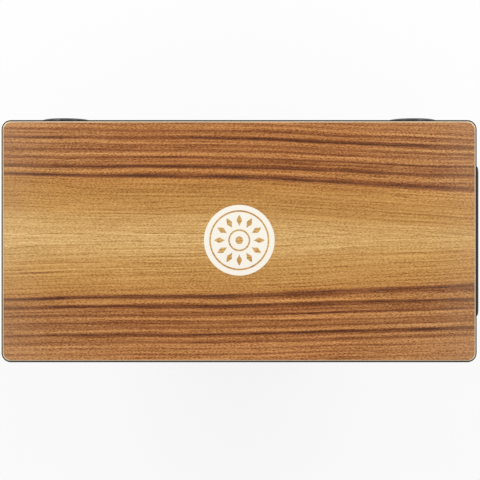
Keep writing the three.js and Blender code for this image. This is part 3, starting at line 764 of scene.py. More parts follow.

# %% Moulded plastic
# The charcoal of the ports is partly the plastic's own tone and partly a painted sheen: it is lighter
# than the black plastic is, which brightens the lips.
PORT_TONES_AND_PAINTED_SHEEN = srgb(54, 54, 52), srgb(64, 64, 62)
PORT_ROUGHNESS = (0.08, 0.13)
FLOW_STRETCH, POLISH_STRETCH = (0.06, 0.06, 0.06), (1.2, 1.2, 1.2)
PORT_RELIEF = 0.008 * MM
# The darker tone in the valleys of the grain is painted shade.
PAINTED_VALLEY_SHADE, CELL_TONE = srgb(19, 19, 20), srgb(31, 31, 32)
CELLS_IN_A_MILLIMETRE = 0.8
CELL_REACH = 0.8
HANDLING_STRETCH = (0.05, 0.05, 0.05)
HANDLE_ROUGHNESS = (0.44, 0.55)
HANDLE_RELIEF = 0.12 * MM


def make_glossy_plastic():
    """Polished plastic, with slow streaks from the flow in the mould and a trace of polishing."""
    recipe = Recipe("port_plastic")
    flow = recipe.noise(FLOW_STRETCH, detail=2.0)
    polish = recipe.noise(POLISH_STRETCH, detail=2.0)
    return recipe.finished(recipe.blend(flow, *PORT_TONES_AND_PAINTED_SHEEN), flow, PORT_ROUGHNESS, polish, PORT_RELIEF)


def make_grained_plastic():
    """Moulded leather grain: small cells, with painted shade that darkens the valleys between them."""
    recipe = Recipe("handle_plastic")
    cells = recipe.add(
        "ShaderNodeTexVoronoi",
        {"Vector": recipe.place, "Scale": CELLS_IN_A_MILLIMETRE, "Randomness": 1.0},
        output="Distance",
        feature="SMOOTH_F1",
    )
    handling = recipe.noise(HANDLING_STRETCH, detail=2.0)
    tone = recipe.blend(recipe.fit(cells, 0.0, CELL_REACH), CELL_TONE, PAINTED_VALLEY_SHADE)
    height = recipe.math("SUBTRACT", 1.0, cells)
    return recipe.finished(tone, handling, HANDLE_ROUGHNESS, height, HANDLE_RELIEF)


port_plastic = make_glossy_plastic()
handle_plastic = make_grained_plastic()
print("plastics:", port_plastic.name, handle_plastic.name)

# %% Rubber and steel
RUBBER_TONE, DUST_TONE = srgb(24, 24, 24), srgb(92, 90, 86)
DUST_STRETCH, DUST_EDGES, DUST_SHARE = (0.12, 0.12, 0.4), (0.5, 0.75), 0.25
SPECKLE_STRETCH = (2.5, 2.5, 2.5)
RUBBER_ROUGHNESS = (0.78, 0.92)
RUBBER_RELIEF = 0.05 * MM
BLACK_STEEL = {"tone": srgb(62, 62, 65), "worn": srgb(120, 120, 124), "roughness": (0.32, 0.47)}
BRIGHT_STEEL = {"tone": srgb(196, 198, 202), "worn": srgb(224, 226, 229), "roughness": (0.24, 0.39)}
SCRATCH_EVERY_WAY, SCRATCH_ALONG = (1.5, 1.5, 1.5), (0.3, 3.0, 3.0)
SCRATCH_EDGES = (0.55, 0.75)
STEEL_RELIEF = 0.01 * MM


def make_rubber():
    """Dull black with a little pale dust in patches, and fine speckles."""
    recipe = Recipe("foot_rubber")
    speckle = recipe.noise(SPECKLE_STRETCH, detail=3.0)
    dust = recipe.ease(recipe.noise(DUST_STRETCH, detail=2.0), *DUST_EDGES, 0.0, DUST_SHARE)
    tone = recipe.blend(dust, RUBBER_TONE, DUST_TONE)
    return recipe.finished(tone, speckle, RUBBER_ROUGHNESS, speckle, RUBBER_RELIEF)


def make_steel(name, stretch, tone, worn, roughness):
    """Metal with scratches along one stretch, which vary the gloss more than the colour."""
    recipe = Recipe(name)
    lines = recipe.noise(stretch, detail=4.0, roughness=0.7)
    recipe.set_surface(metallic=1.0)
    scratched = recipe.blend(recipe.ease(lines, *SCRATCH_EDGES), tone, worn)
    return recipe.finished(scratched, lines, roughness, lines, STEEL_RELIEF)


rubber = make_rubber()
black_steel = make_steel("black_steel", SCRATCH_EVERY_WAY, **BLACK_STEEL)
bright_steel = make_steel("bright_steel", SCRATCH_ALONG, **BRIGHT_STEEL)
print("rubber and steel:", [material.name for material in (rubber, black_steel, bright_steel)])

# %% [markdown]
# New pieces are woven from grids of points. A grid is a stack of rings, and each ring has the same
# number of points: for turned pieces the rings are circles, and for moulded ones rectangles with
# round corners. Numpy works out all the points at once, and one weaving function makes the faces
# for every kind.

# %% Grids of points
CORNER_STEPS = 14
ROUND_STEPS = 96


def arc(centre, across, up, start, end, steps):
    """Points of an ellipse: centre + (across cos a, up sin a), with a from start to end in degrees."""
    angle = np.radians(np.linspace(start, end, steps + 1))
    return np.stack([centre[0] + across * np.cos(angle), centre[1] + up * np.sin(angle)], axis=-1)


def turned(profile, steps=ROUND_STEPS):
    """Rings of a turned piece: each (radius, height) of the profile carried round the Z axis."""
    profile = np.asarray(profile, float)
    angle = np.linspace(0, 2 * np.pi, steps, endpoint=False)
    radius, height = profile[:, :1], profile[:, 1:]
    return np.stack([radius * np.cos(angle), radius * np.sin(angle), height + 0 * angle], axis=-1)


def rounded_rings(rows):
    """Rings that are rectangles with round corners, one for each (half width, half height, radius, z).

    Corner k is a quarter circle about its own centre, from 90 k to 90 (k + 1) degrees.
    """
    half_width, half_height, radius, height = np.asarray(rows, float).T
    turn = np.linspace(0, np.pi / 2, CORNER_STEPS + 1)
    angle = (np.arange(4)[:, None] * np.pi / 2 + turn).ravel()
    side = np.array([[1, 1], [-1, 1], [-1, -1], [1, -1]]).repeat(CORNER_STEPS + 1, axis=0)
    reach = np.stack([half_width - radius, half_height - radius], axis=-1)
    circle = np.stack([np.cos(angle), np.sin(angle)], axis=-1)
    flat = side * reach[:, None] + radius[:, None, None] * circle
    return np.concatenate([flat, np.broadcast_to(height[:, None, None], (*flat.shape[:2], 1))], axis=-1)


def weave(rings, closed):
    """Faces over rings of points: points k and k + 1 of a ring join the same two of the next ring.

    Closed joins the last ring to the first as well. An open stack gets a flat face over each end.
    """
    count, points = rings.shape[:2]
    number = np.arange(count * points).reshape(count, points)
    here = number if closed else number[:-1]
    above = np.roll(number, -1, axis=0) if closed else number[1:]
    quads = np.stack([here, np.roll(here, -1, axis=1), np.roll(above, -1, axis=1), above], axis=-1)
    faces = quads.reshape(-1, 4).tolist()
    if not closed:
        faces += [number[0, ::-1].tolist(), number[-1].tolist()]
    return rings.reshape(-1, 3), faces


print("points in a ring of a turned piece:", ROUND_STEPS)

# %% [markdown]
# The woven grids become meshes in one place. Doubled points are merged, which closes the poles, and
# the sign of the volume tells whether the faces point outwards. A cutter, such as a screw's cross,
# is carved out with a boolean that is applied straight away, so that the piece ends as a plain mesh.

# %% From grids to finished pieces
WELD = 1e-6
SMOOTH_BELOW = 32.0


def closed_mesh(name, *stacks):
    """One mesh of closed skins. A stack is rings, or (rings, True) where the rings run round."""
    whole = bmesh.new()
    for stack in stacks:
        rings, closed = stack if isinstance(stack, tuple) else (stack, False)
        points, faces = weave(rings, closed)
        mesh = bpy.data.meshes.new("skin")
        mesh.from_pydata(points.tolist(), [], faces)
        skin = bmesh.new()
        skin.from_mesh(mesh)
        bmesh.ops.remove_doubles(skin, verts=skin.verts, dist=WELD)
        if skin.calc_volume(signed=True) < 0:
            bmesh.ops.reverse_faces(skin, faces=skin.faces)
        skin.to_mesh(mesh)
        skin.free()
        whole.from_mesh(mesh)
        bpy.data.meshes.remove(mesh)
    result = bpy.data.meshes.new(name)
    whole.to_mesh(result)
    whole.free()
    return result


def carved(mesh, cutter, operation="DIFFERENCE"):
    """The mesh with the cutter taken away from it, or joined to it."""
    objects = [bpy.data.objects.new(f"{mesh.name}_{i}", m) for i, m in enumerate((mesh, cutter))]
    for thing in objects:
        bpy.context.scene.collection.objects.link(thing)
    modifier = objects[0].modifiers.new("carve", "BOOLEAN")
    modifier.operation = operation
    modifier.solver = "EXACT"
    modifier.object = objects[1]
    graph = bpy.context.evaluated_depsgraph_get()
    result = bpy.data.meshes.new_from_object(objects[0].evaluated_get(graph))
    for thing in objects:
        bpy.data.objects.remove(thing)
    result.name = mesh.name
    return result


def finish_piece(name, mesh, materials, stands_for, choose=None):
    """Gives a mesh its finish and its place in the frame. Choose(centres, normals) picks materials."""
    for material in materials:
        mesh.materials.append(material)
    mesh.shade_smooth()
    mesh.set_sharp_from_angle(angle=math.radians(SMOOTH_BELOW))
    if choose is not None:
        centres, normals = (np.empty(3 * len(mesh.polygons), np.float32) for _ in range(2))
        mesh.polygons.foreach_get("center", centres)
        mesh.polygons.foreach_get("normal", normals)
        picked = choose(centres.reshape(-1, 3), normals.reshape(-1, 3)).astype(np.int32)
        mesh.polygons.foreach_set("material_index", picked)
    piece = bpy.data.objects.new(name, mesh)
    bpy.context.scene.collection.objects.link(piece)
    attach(piece, "root")
    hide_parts(*stands_for)
    return piece


print("edges below this many degrees are shaded smooth:", SMOOTH_BELOW)

# %% [markdown]
# The playing plate is a sheet of plywood with the veneer on top, and a chamfer runs through both.
# Each is a stack of rounded rectangles that shrink as they go up. The chamfer's arrises are eased by
# a few tenths, as sandpaper does it, and the veneer's own cut edge is sanded pale like the plies.

# %% The playing plate
PLATE_CHAMFER = 1.2
VENEER_THICKNESS = 0.5
BOX_CORNER = 10.0
VENEER_RADIUS = 8.5
ARRIS = 0.25
GLUE_STEP = 0.1
UP = 0.9

plate_low, plate_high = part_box("plate_core")
veneer_low, veneer_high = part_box("face_veneer")
setback = (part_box("right_end_panel")[1].x - plate_high.x) / MM
plate_radius = BOX_CORNER - setback


def plate_row(inset, z):
    """One ring of the plate: the outline drawn in by an inset, with a corner that grows a little."""
    share = inset / PLATE_CHAMFER
    radius = plate_radius + (VENEER_RADIUS - plate_radius) * share
    return (plate_high.x - inset * MM, plate_high.y - inset * MM, radius * MM, z)


def is_cut_edge(centres, normals):
    """True for the faces of the veneer that don't look straight up or down."""
    return np.abs(normals[:, 2]) < UP


def make_plate():
    """Two stacks of rounded rectangles: the core up to the glue line, and the veneer above it."""
    shoulder = veneer_high.z - PLATE_CHAMFER * MM
    core_inset = PLATE_CHAMFER - VENEER_THICKNESS
    core = rounded_rings(
        [
            plate_row(0.0, plate_low.z),
            plate_row(0.0, shoulder - ARRIS * MM),
            plate_row(ARRIS / 3, shoulder + ARRIS * MM / 3),
            plate_row(core_inset - GLUE_STEP, plate_high.z),
        ]
    )
    veneer_rings = rounded_rings(
        [
            plate_row(core_inset, veneer_low.z),
            plate_row(PLATE_CHAMFER - ARRIS, veneer_high.z - ARRIS * MM),
            plate_row(PLATE_CHAMFER - ARRIS / 4, veneer_high.z - ARRIS * MM / 4),
            plate_row(PLATE_CHAMFER + ARRIS, veneer_high.z),
        ]
    )
    plate = closed_mesh("playing_plate", core)
    finish_piece("playing_plate", plate, [plywood], ["plate_core"])
    top = closed_mesh("playing_veneer", veneer_rings)
    finishes = [veneer, plywood]
    finish_piece("playing_veneer", top, finishes, ["face_veneer"], is_cut_edge)


make_plate()
print("plate in millimetres:", [round(2 * v / MM, 1) for v in plate_high.xy])

# %% [markdown]
# The box is nine panels, glued edge to edge and lacquered outside. Their CAD meshes have the right
# shape, so each is copied: the loose triangles are merged, flat neighbours are joined into whole
# faces, and the outer edge of the rim is rounded, because that thin edge is what shows round the
# plate. Faces that look into the drum stay bare wood.

# %% The inside and the rim
TOUCH = 0.05 * MM
LOOK = 0.4 * MM

box_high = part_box("port_panel")[1]
inner_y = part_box("port_panel")[0].y
wing_cavity = (
    (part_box("left_end_panel")[1].x, -inner_y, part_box("left_wing_floor")[1].z),
    (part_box("right_end_panel")[0].x, inner_y, box_high.z - TOUCH),
)
stem_cavity = (
    (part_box("left_stem_wall")[1].x, -inner_y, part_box("stem_floor")[1].z),
    (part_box("right_stem_wall")[0].x, inner_y, box_high.z - TOUCH),
)


def looks_inside(centres, normals):
    """True for a face whose outward side lies in one of the two cavities of the drum."""
    seen = centres + LOOK * normals
    inside = np.zeros(len(seen), bool)
    for low, high in (wing_cavity, stem_cavity):
        inside |= ((seen > np.array(low)) & (seen < np.array(high))).all(axis=1)
    return inside


def on_rim(vertex):
    """True for a point of the upper edge that lies on the outline of the wings."""
    x, y = abs(vertex.co.x), abs(vertex.co.y)
    if vertex.co.z < box_high.z - TOUCH:
        return False
    centre_x, centre_y = box_high.x - BOX_CORNER * MM, box_high.y - BOX_CORNER * MM
    if x > centre_x and y > centre_y:
        return math.hypot(x - centre_x, y - centre_y) > BOX_CORNER * MM - TOUCH
    return x > box_high.x - TOUCH or y > box_high.y - TOUCH


cavity_length = wing_cavity[1][0] - wing_cavity[0][0]
print("length of the drum inside, in millimetres:", round(cavity_length / MM, 1))

# %% The panels
RIM_ROUND = 0.12 * MM
RIM_SEGMENTS = 4
FLAT_ANGLE = 0.4
SIDES = ("left", "right")


def eased_copy(name, node, is_eased, width, segments):
    """A node's mesh, merged to whole flat faces, with the edges that is_eased picks rounded off."""
    shape = bmesh.new()
    shape.from_mesh(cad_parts[node].data)
    bmesh.ops.remove_doubles(shape, verts=shape.verts, dist=WELD)
    flat = math.radians(FLAT_ANGLE)
    bmesh.ops.dissolve_limit(shape, angle_limit=flat, verts=shape.verts, edges=shape.edges)
    eased = [edge for edge in shape.edges if is_eased(edge)]
    if eased:
        bmesh.ops.bevel(shape, geom=eased, offset=width, segments=segments, profile=0.5, affect="EDGES")
    mesh = bpy.data.meshes.new(name)
    shape.to_mesh(mesh)
    shape.free()
    return mesh


def keep_flat(piece):
    """Lets the large flat faces decide the shading of the narrow rounds beside them."""
    piece.modifiers.new("flat faces stay flat", "WEIGHTED_NORMAL").keep_sharp = True


def is_rim(edge):
    """True for an edge whose two ends lie on the rim."""
    return all(map(on_rim, edge.verts))


def make_panel(node):
    """A copy of the node with its rim rounded, lacquered outside and bare inside."""
    name = f"lacquered_{node}"
    mesh = eased_copy(name, node, is_rim, RIM_ROUND, RIM_SEGMENTS)
    keep_flat(finish_piece(name, mesh, [lacquer, raw_panel], [node], looks_inside))


panels = ["port_panel", "player_panel", "stem_floor"]
for side in SIDES:
    panels += [f"{side}_{part}" for part in ("end_panel", "wing_floor", "stem_wall")]
for node in panels:
    make_panel(node)
print("panels:", len(panels))

# %% [markdown]
# Each sound port is a flared mouth with a tube pushed into it. Both are turned shapes: one profile,
# written as (radius, height) with the height counted out of the panel, is carried round an axis. The
# mouth's lip is a quarter ellipse outside and a long quarter ellipse inside, which lets the air out
# without a hiss.

# %% The sound ports
PORT_LIP_WIDTH = 4.0
PORT_FLARE_WIDTH = 3.5
PORT_FLANGE_EDGE = 0.8
PORT_FLARE_DEPTH = 11.0
PORT_SKIRT_WALL = 2.0
PORT_SOCKET_DEPTH = 8.0
SOCKET_GAP = 0.3
TUBE_WALL = 2.0
FLANGE_GAP = 0.1
EDGE_ROUND = 0.3
EDGE_STEPS = 4
LIP_STEPS = 16


def rounded_corner(radius, height, start, end):
    """The small round of a turned edge, about its centre, from start to end in degrees."""
    return arc((radius, height), EDGE_ROUND, EDGE_ROUND, start, end, EDGE_STEPS)


def out_of_panel(rings, node):
    """Turns a shape made about Z to point along +Y, on the axis of a port's CAD node."""
    low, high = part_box(node)
    x, y, z = np.moveaxis(rings, -1, 0)
    return np.stack([x + (low.x + high.x) / 2, z, (low.z + high.z) / 2 - y], axis=-1)


def make_port(side):
    """A mouth whose profile goes round the lip and back along the skirt, and its tube."""
    mouth, tube = f"{side}_port_mouth", f"{side}_port_tube"
    low, high = (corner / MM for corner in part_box(mouth))
    flange = (high.x - low.x) / 2
    crest, end, seat = high.y, low.y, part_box("port_panel")[1].y / MM + FLANGE_GAP
    lip = flange - PORT_LIP_WIDTH
    throat = lip - PORT_FLARE_WIDTH
    tube_low, tube_high = (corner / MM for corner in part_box(tube))
    socket = (tube_high.x - tube_low.x) / 2 + SOCKET_GAP
    skirt = socket + PORT_SKIRT_WALL
    edge = seat + PORT_FLANGE_EDGE
    profile = np.concatenate(
        [
            [(skirt, seat)],
            rounded_corner(flange - EDGE_ROUND, seat + EDGE_ROUND, -90, 0),
            arc((lip, edge), PORT_LIP_WIDTH, crest - edge, 0, 90, LIP_STEPS),
            arc((lip, crest - PORT_FLARE_DEPTH), throat - lip, PORT_FLARE_DEPTH, 90, 0, LIP_STEPS)[1:],
            [(throat, end + PORT_SOCKET_DEPTH), (socket, end + PORT_SOCKET_DEPTH), (socket, end)],
            [(skirt, end)],
        ]
    )
    rings = out_of_panel(turned(profile) * MM, mouth)
    mesh = closed_mesh(f"{side}_flared_mouth", (rings, True))
    finish_piece(mesh.name, mesh, [port_plastic], [mouth])

    outer = (tube_high.x - tube_low.x) / 2
    inner = outer - TUBE_WALL
    bottom, top = tube_low.y + EDGE_ROUND, tube_high.y - EDGE_ROUND
    profile = np.concatenate(
        [
            rounded_corner(inner + EDGE_ROUND, top, 180, 90),
            rounded_corner(outer - EDGE_ROUND, top, 90, 0),
            rounded_corner(outer - EDGE_ROUND, bottom, 0, -90),
            rounded_corner(inner + EDGE_ROUND, bottom, -90, -180),
        ]
    )
    rings = out_of_panel(turned(profile) * MM, tube)
    mesh = closed_mesh(f"{side}_bass_tube", (rings, True))
    finish_piece(mesh.name, mesh, [port_plastic], [tube])
    return flange, throat


for side in SIDES:
    print(side, "port, flange and throat radius:", [round(v, 1) for v in make_port(side)])

# %% [markdown]
# Screws hold the handle and the feet. A screw's head is turned, and its cross is carved out with two
# crossed wedges that narrow as they go in, as the driver's tip does. The screw is made once for each
# kind and then written into its places, so that every copy is a mesh in the frame like the rest.

# %% Screws with a cross
SCREW_STEPS = 40
CROSS_WIDTH = 0.9
CROSS_SPAN = 0.55
CROSS_DEPTH = 0.55
CROSS_TAPER = 0.55
SHANK = 1.8
OVERRUN = 1.0


def cross_wedges(radius, height):
    """Two wedges at right angles: rounded rectangles that shrink from the head's top to the depth."""
    reach, width, depth = radius * CROSS_SPAN, CROSS_WIDTH / 2, height * CROSS_DEPTH
    wedges = []
    for across, along in ((width, reach), (reach, width)):
        top = (across, along, width / 2, OVERRUN)
        level = (across, along, width / 2, 0.0)
        foot = (across * CROSS_TAPER, along * CROSS_TAPER, width * CROSS_TAPER / 2, -depth)
        wedges.append(closed_mesh("wedge", rounded_rings([foot, level, top]) * MM))
    return wedges


def make_screw(kind, head, radius, height, length):
    """A screw about Z, with the top of its head at zero and its point below."""
    profile = [(0, 0), *head, (SHANK, -height), (SHANK, SHANK - length), (0, -length)]
    screw = closed_mesh(kind, turned(profile, SCREW_STEPS) * MM)
    for wedge in cross_wedges(radius, height):
        screw = carved(screw, wedge)
    return screw


def place_screw(name, screw, node, axis, top):
    """Copies a screw's mesh to a node: its own +Z turns to the axis, its top goes to a point."""
    mesh = screw.copy()
    turn = Vector(axis).to_track_quat("Z", "Y").to_matrix().to_4x4()
    mesh.transform(Matrix.Translation(top) @ turn)
    mesh.name = name
    finish_piece(name, mesh, [black_steel], [node])


print("width of the cross in millimetres:", CROSS_WIDTH)

# %% The screws in their places
COUNTERSUNK = {"radius": 3.6, "height": 2.2}
COUNTERSUNK_EDGE = ((0.35, 0.0), (0.08, 0.06), (0.0, 0.3))
PAN = {"radius": 4.0, "height": 2.6}
PAN_STEPS = 10

flat_radius, flat_height = COUNTERSUNK["radius"], COUNTERSUNK["height"]
flat_head = [(flat_radius - inwards, -down) for inwards, down in COUNTERSUNK_EDGE]
handle_nodes = [f"handle_screw_{y}_{z}" for y in ("player", "port") for z in ("upper", "lower")]
low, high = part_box(handle_nodes[0])
flat_screw = make_screw("flat_screw", flat_head, flat_radius, flat_height, (high.x - low.x) / MM)
for node in handle_nodes:
    low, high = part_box(node)
    middle = (low + high) / 2
    place_screw(f"flat_{node}", flat_screw, node, (1, 0, 0), Vector((high.x, middle.y, middle.z)))

pan_radius, pan_height = PAN["radius"], PAN["height"]
pan_head = arc((0, -pan_height), pan_radius, pan_height, 90, 0, PAN_STEPS)[1:].tolist()
foot_names = [f"{side}_{end}_foot" for side in SIDES for end in ("port", "player")]
low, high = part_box(f"{foot_names[0]}_screw")
pan_screw = make_screw("pan_screw", pan_head, pan_radius, pan_height, (high.z - low.z) / MM)
for node in foot_names:
    low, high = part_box(f"{node}_screw")
    middle = (low + high) / 2
    top = Vector((middle.x, middle.y, low.z))
    place_screw(f"pan_{node}_screw", pan_screw, f"{node}_screw", (0, 0, -1), top)
print("screws:", len(handle_nodes) + len(foot_names))

# %% [markdown]
# The handle is one moulding: a flange with soft edges, a cup for the fingers and a round grip across
# its upper half. The body is a single stack of rounded rectangles that starts at the cup's floor,
# climbs the inner wall, turns over the rim and the flange, and goes back down outside the cup. The
# grip is a bar that swells where it meets the walls, joined on with a boolean, and the seats of the
# four screws are carved in.

# %% The recessed handle
FLANGE_RADIUS = 8.0
FLANGE_EDGE = 1.9
CUP_END_MARGIN, CUP_SIDE_MARGIN = 26.0, 12.0
CUP_DEPTH = 38.0
CUP_RADIUS = 12.0
CUP_WALL = 2.5
FLOOR_ROUND = 7.0
CUP_RIM_ROUND = 2.0
ROUND_OF_CUP_STEPS, ROUND_OF_FLANGE_STEPS = 8, 10

handle_low, handle_high = (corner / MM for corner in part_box("handle"))
end_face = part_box("right_end_panel")[1].x / MM
half_length = (handle_high.y - handle_low.y) / 2
half_height = (handle_high.z - handle_low.z) / 2
handle_middle_z = (handle_high.z + handle_low.z) / 2
face_z = handle_high.x - end_face
back_z = handle_low.x - end_face


def into_end(rings):
    """From the handle's own frame, with X along it, Y up and Z out of the panel, to the drum's."""
    x, y, z = np.moveaxis(rings, -1, 0)
    return np.stack([z + end_face, x, y + handle_middle_z], axis=-1) * MM


def handle_rows():
    """The moulding's rings: (half width, half height, corner radius, height out of the panel)."""
    cup_x, cup_y = half_length - CUP_END_MARGIN, half_height - CUP_SIDE_MARGIN
    floor_z = face_z - CUP_DEPTH

    def cup(grow, z):
        return (cup_x + grow, cup_y + grow, CUP_RADIUS + grow, z)

    def flange(inset, z):
        return (half_length - inset, half_height - inset, FLANGE_RADIUS - inset, z)

    def rounded(inset, z, radius, start, end):
        return arc((inset, z), radius, radius, start, end, ROUND_OF_CUP_STEPS)

    floor = rounded(-FLOOR_ROUND, floor_z + FLOOR_ROUND, FLOOR_ROUND, -90, 0)
    rim = rounded(CUP_RIM_ROUND, face_z - CUP_RIM_ROUND, CUP_RIM_ROUND, 180, 90)
    outer = (FLANGE_EDGE, face_z - FLANGE_EDGE)
    edge = arc(outer, -FLANGE_EDGE, FLANGE_EDGE, 90, 0, ROUND_OF_FLANGE_STEPS)
    back = rounded(CUP_WALL - FLOOR_ROUND, back_z + FLOOR_ROUND, FLOOR_ROUND, 0, -90)
    rows = [cup(*place) for place in floor]
    rows += [cup(*place) for place in rim]
    rows += [flange(*place) for place in edge]
    rows += [flange(0.0, FLANGE_GAP + EDGE_ROUND), flange(EDGE_ROUND, FLANGE_GAP)]
    rows += [cup(CUP_WALL, FLANGE_GAP)]
    rows += [cup(*place) for place in back]
    return rows


print("handle in millimetres:", round(2 * half_length, 1), "by", round(2 * half_height, 1))

# %% The grip and the seats of the screws
GRIP_RADIUS = 6.0
GRIP_TOP_GAP = 3.0
GRIP_INSET = 1.0
GRIP_SWELL = 2.2
GRIP_SWELL_REACH = 5.0
GRIP_SWELL_OUTWARDS = 0.9
GRIP_STATIONS, GRIP_STEPS = 41, 48
SEAT_GAP = 0.3
SEAT_CUT_BELOW, SEAT_CUT_ABOVE = 8.0, 3.0


def grip_rings():
    """A bar along X whose radius swells towards its ends: radius + swell * exp(-distance / reach)."""
    half = half_length - CUP_END_MARGIN + CUP_WALL / 2
    x = half * np.sin(np.linspace(-np.pi / 2, np.pi / 2, GRIP_STATIONS))
    radius = GRIP_RADIUS + GRIP_SWELL * np.exp((np.abs(x) - half) / GRIP_SWELL_REACH)
    angle = np.linspace(0, 2 * np.pi, GRIP_STEPS, endpoint=False)
    up = half_height - CUP_SIDE_MARGIN - GRIP_TOP_GAP - GRIP_RADIUS
    out = face_z - GRIP_INSET - GRIP_RADIUS
    across = np.minimum(radius[:, None], GRIP_RADIUS + GRIP_SWELL_OUTWARDS) * np.cos(angle)
    height = up + radius[:, None] * np.sin(angle)
    return np.stack([x[:, None] + 0 * angle, height, out + across], axis=-1)


def seat_rings(node):
    """The countersink and the hole of one screw, as a turned cutter that runs through the flange."""
    low, high = (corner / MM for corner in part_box(node))
    radius, height = COUNTERSUNK["radius"] + SEAT_GAP, COUNTERSUNK["height"]
    shank = SHANK + SEAT_GAP
    profile = [(0, -SEAT_CUT_BELOW), (shank, -SEAT_CUT_BELOW), (shank, -height - SEAT_GAP)]
    profile += [(radius, 0), (radius, SEAT_CUT_ABOVE), (0, SEAT_CUT_ABOVE)]
    rings = turned(profile, SCREW_STEPS)
    shift = ((low.y + high.y) / 2, (low.z + high.z) / 2 - handle_middle_z, high.x - end_face)
    return rings + np.array(shift)


moulding = closed_mesh("handle_moulding", into_end(rounded_rings(handle_rows())))
grip = closed_mesh("grip", into_end(grip_rings()))
moulding = carved(moulding, grip, "UNION")
seats = closed_mesh("seats", *[into_end(seat_rings(node)) for node in handle_nodes])
moulding = carved(moulding, seats)
moulding.name = "handle_moulding"
finish_piece("handle_moulding", moulding, [handle_plastic], ["handle"])
print("faces of the moulding:", len(moulding.polygons))

# %% [markdown]
# The rubber feet are turned as well: a cone that narrows towards the floor, a rounded tread, and a
# recess that takes the screw's head so that it never scratches a floor.

# %% The rubber feet
FOOT_STEPS = 72
TREAD_RADIUS, TREAD_ROUND, TREAD_STEPS = 13.0, 1.5, 8
TOP_ROUND, TOP_STEPS = 0.6, 5
RECESS_RADIUS, RECESS_DEPTH = 6.0, 4.5


def make_foot(node):
    """A profile that goes up the recess, round the tread and the top, and back to the bore."""
    low, high = (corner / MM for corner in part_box(node))
    middle = (low + high) / 2
    top_radius = (high.x - low.x) / 2
    bore = SHANK + SEAT_GAP
    tread = (TREAD_RADIUS - TREAD_ROUND, TREAD_ROUND)
    top = (top_radius - TOP_ROUND, high.z - TOP_ROUND)
    profile = np.concatenate(
        [
            [(bore, RECESS_DEPTH), (RECESS_RADIUS - EDGE_ROUND, RECESS_DEPTH)],
            [(RECESS_RADIUS, RECESS_DEPTH - EDGE_ROUND)],
            rounded_corner(RECESS_RADIUS + EDGE_ROUND, EDGE_ROUND, 180, 270),
            arc(tread, TREAD_ROUND, TREAD_ROUND, -90, 0, TREAD_STEPS),
            arc(top, TOP_ROUND, TOP_ROUND, 0, 90, TOP_STEPS),
            [(bore, high.z)],
        ]
    )
    rings = turned(profile, FOOT_STEPS) + np.array([middle.x, middle.y, 0.0])
    mesh = closed_mesh(f"rubber_{node}", (rings * MM, True))
    finish_piece(mesh.name, mesh, [rubber], [node])


for node in foot_names:
    make_foot(node)
print("feet:", len(foot_names))

# %% [markdown]
# A snare fan is a steel strip with wound wires soldered into it. The wires lean against the
# underside of the plate and rattle when it is struck. A wire could be a plain rod with ridges drawn
# on it, but then its outline would be straight, so it is really wound: a thin ring of points is
# carried along a helix, whose axis climbs from the strip to the plate.

# %% A wound wire
COIL_RADIUS = 0.9
COIL_PITCH = 1.6
GAUGE_RADIUS = 0.17
GAUGE_SIDES = 4
TURN_STEPS = 6


def wound(start, end):
    """Rings of a wire wound about the line from start to end.

    Outward is cos(angle) sideways + sin(angle) upwards. A ring's middle is the point on the line plus
    the coil's radius times outward, and the ring lies square to the wire's own direction there.
    """
    line = np.subtract(end, start)
    turns = np.linalg.norm(line) / COIL_PITCH
    forward = line / np.linalg.norm(line)
    sideways = np.array([0.0, 1.0, 0.0])
    upwards = np.cross(forward, sideways)
    turn = np.linspace(0, turns, int(turns * TURN_STEPS) + 1)[:, None]
    cosine, sine = np.cos(2 * np.pi * turn), np.sin(2 * np.pi * turn)
    outward = cosine * sideways + sine * upwards
    radius = COIL_RADIUS - GAUGE_RADIUS
    middle = np.array(start) + line * turn / turns + radius * outward
    along = COIL_PITCH * forward + 2 * np.pi * radius * (cosine * upwards - sine * sideways)
    across = np.cross(along / np.linalg.norm(along, axis=1, keepdims=True), outward)
    side = (2 * np.pi * np.arange(GAUGE_SIDES) / GAUGE_SIDES)[:, None]
    ring = np.cos(side) * outward[:, None] + np.sin(side) * across[:, None]
    return middle[:, None] + GAUGE_RADIUS * ring


print("turns in a centimetre of wire:", 10 / COIL_PITCH)

# %% The snare fans
WIRE_COUNT = 10
WIRE_SPACING = 8.0
WIRE_START = 5.0
WIRE_TIP = 0.3
STRIP_WIDTH, STRIP_THICKNESS = 14.0, 1.5
STRIP_CORNER = 2.0
STRIP_ARRIS = 0.2
CLAMP_HOLE_RADIUS = 1.6


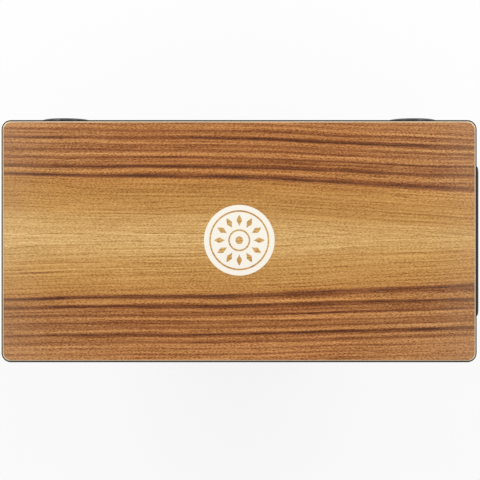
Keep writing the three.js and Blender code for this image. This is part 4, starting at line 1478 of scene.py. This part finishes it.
def make_fan(side, sign):
    """A strip with two holes, and its wires. It is laid out on the right and mirrored by the sign."""
    node = f"{side}_snare_wires"
    low, high = (np.array(corner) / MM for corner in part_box(node))
    reach = max(abs(low[0]), abs(high[0]))
    middle = min(abs(low[0]), abs(high[0])) + STRIP_WIDTH / 2
    mirror = np.array([sign, 1, 1]) * MM
    rows = [
        (STRIP_WIDTH / 2 - inset, high[1] - inset, STRIP_CORNER - inset, low[2] + height)
        for inset, height in (
            (STRIP_ARRIS, 0.0),
            (0.0, STRIP_ARRIS),
            (0.0, STRIP_THICKNESS - STRIP_ARRIS),
            (STRIP_ARRIS, STRIP_THICKNESS),
        )
    ]
    strip = closed_mesh("strip", (rounded_rings(rows) + np.array([middle, 0, 0])) * mirror)
    above = 2 * STRIP_THICKNESS
    hole = [(0, -OVERRUN), (CLAMP_HOLE_RADIUS, -OVERRUN), (CLAMP_HOLE_RADIUS, above), (0, above)]
    for end in ("port", "player"):
        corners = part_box(f"{side}_{end}_clamp_screw")
        y = (corners[0].y + corners[1].y) / 2 / MM
        drill = turned(hole, SCREW_STEPS) + np.array([middle, y, low[2]])
        strip = carved(strip, closed_mesh("drill", drill * mirror))
    places = WIRE_SPACING * (np.arange(WIRE_COUNT) - (WIRE_COUNT - 1) / 2)
    start_z, end_z = low[2] + COIL_RADIUS, high[2] - COIL_RADIUS
    wires = [wound((middle + WIRE_START, y, start_z), (reach - WIRE_TIP, y, end_z)) for y in places]
    fan = bmesh.new()
    fan.from_mesh(strip)
    fan.from_mesh(closed_mesh("wires", *[wire * mirror for wire in wires]))
    mesh = bpy.data.meshes.new(f"{side}_wound_snares")
    fan.to_mesh(mesh)
    fan.free()
    finish_piece(mesh.name, mesh, [bright_steel], [node])
    return len(mesh.polygons)


for side, sign in zip(SIDES, (-1, 1)):
    print(side, "fan, faces:", make_fan(side, sign))

# %% [markdown]
# The battens, blocks and the beam are planed spruce. They are glued in where nobody looks, so their
# ends are left as the saw leaves them, and only the long arrises are eased, because a sharp one
# splinters. The grain runs along each batten, so its material is picked by its longest side. The
# clamp screws keep their CAD meshes, and only their material changes.

# %% Inside the drum
BATTEN_ARRIS = 0.4 * MM
BATTEN_SEGMENTS = 2


def make_batten(node):
    """A copy of the node whose edges along its longest side are eased."""
    low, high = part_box(node)
    sides = list(high - low)
    longest = sides.index(max(sides))

    def is_long(edge):
        return abs((edge.verts[1].co - edge.verts[0].co)[longest]) > sides[longest] - TOUCH

    mesh = eased_copy(f"planed_{node}", node, is_long, BATTEN_ARRIS, BATTEN_SEGMENTS)
    keep_flat(finish_piece(mesh.name, mesh, [spruce_along[longest]], [node]))


battens = [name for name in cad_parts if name.endswith(("batten", "block", "beam"))]
for node in battens:
    make_batten(node)
kept = [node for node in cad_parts.values() if not node.hide_render]
for node in kept:
    node.data.materials.clear()
    node.data.materials.append(bright_steel)
print("battens:", len(battens), "CAD nodes that keep their mesh:", len(kept))
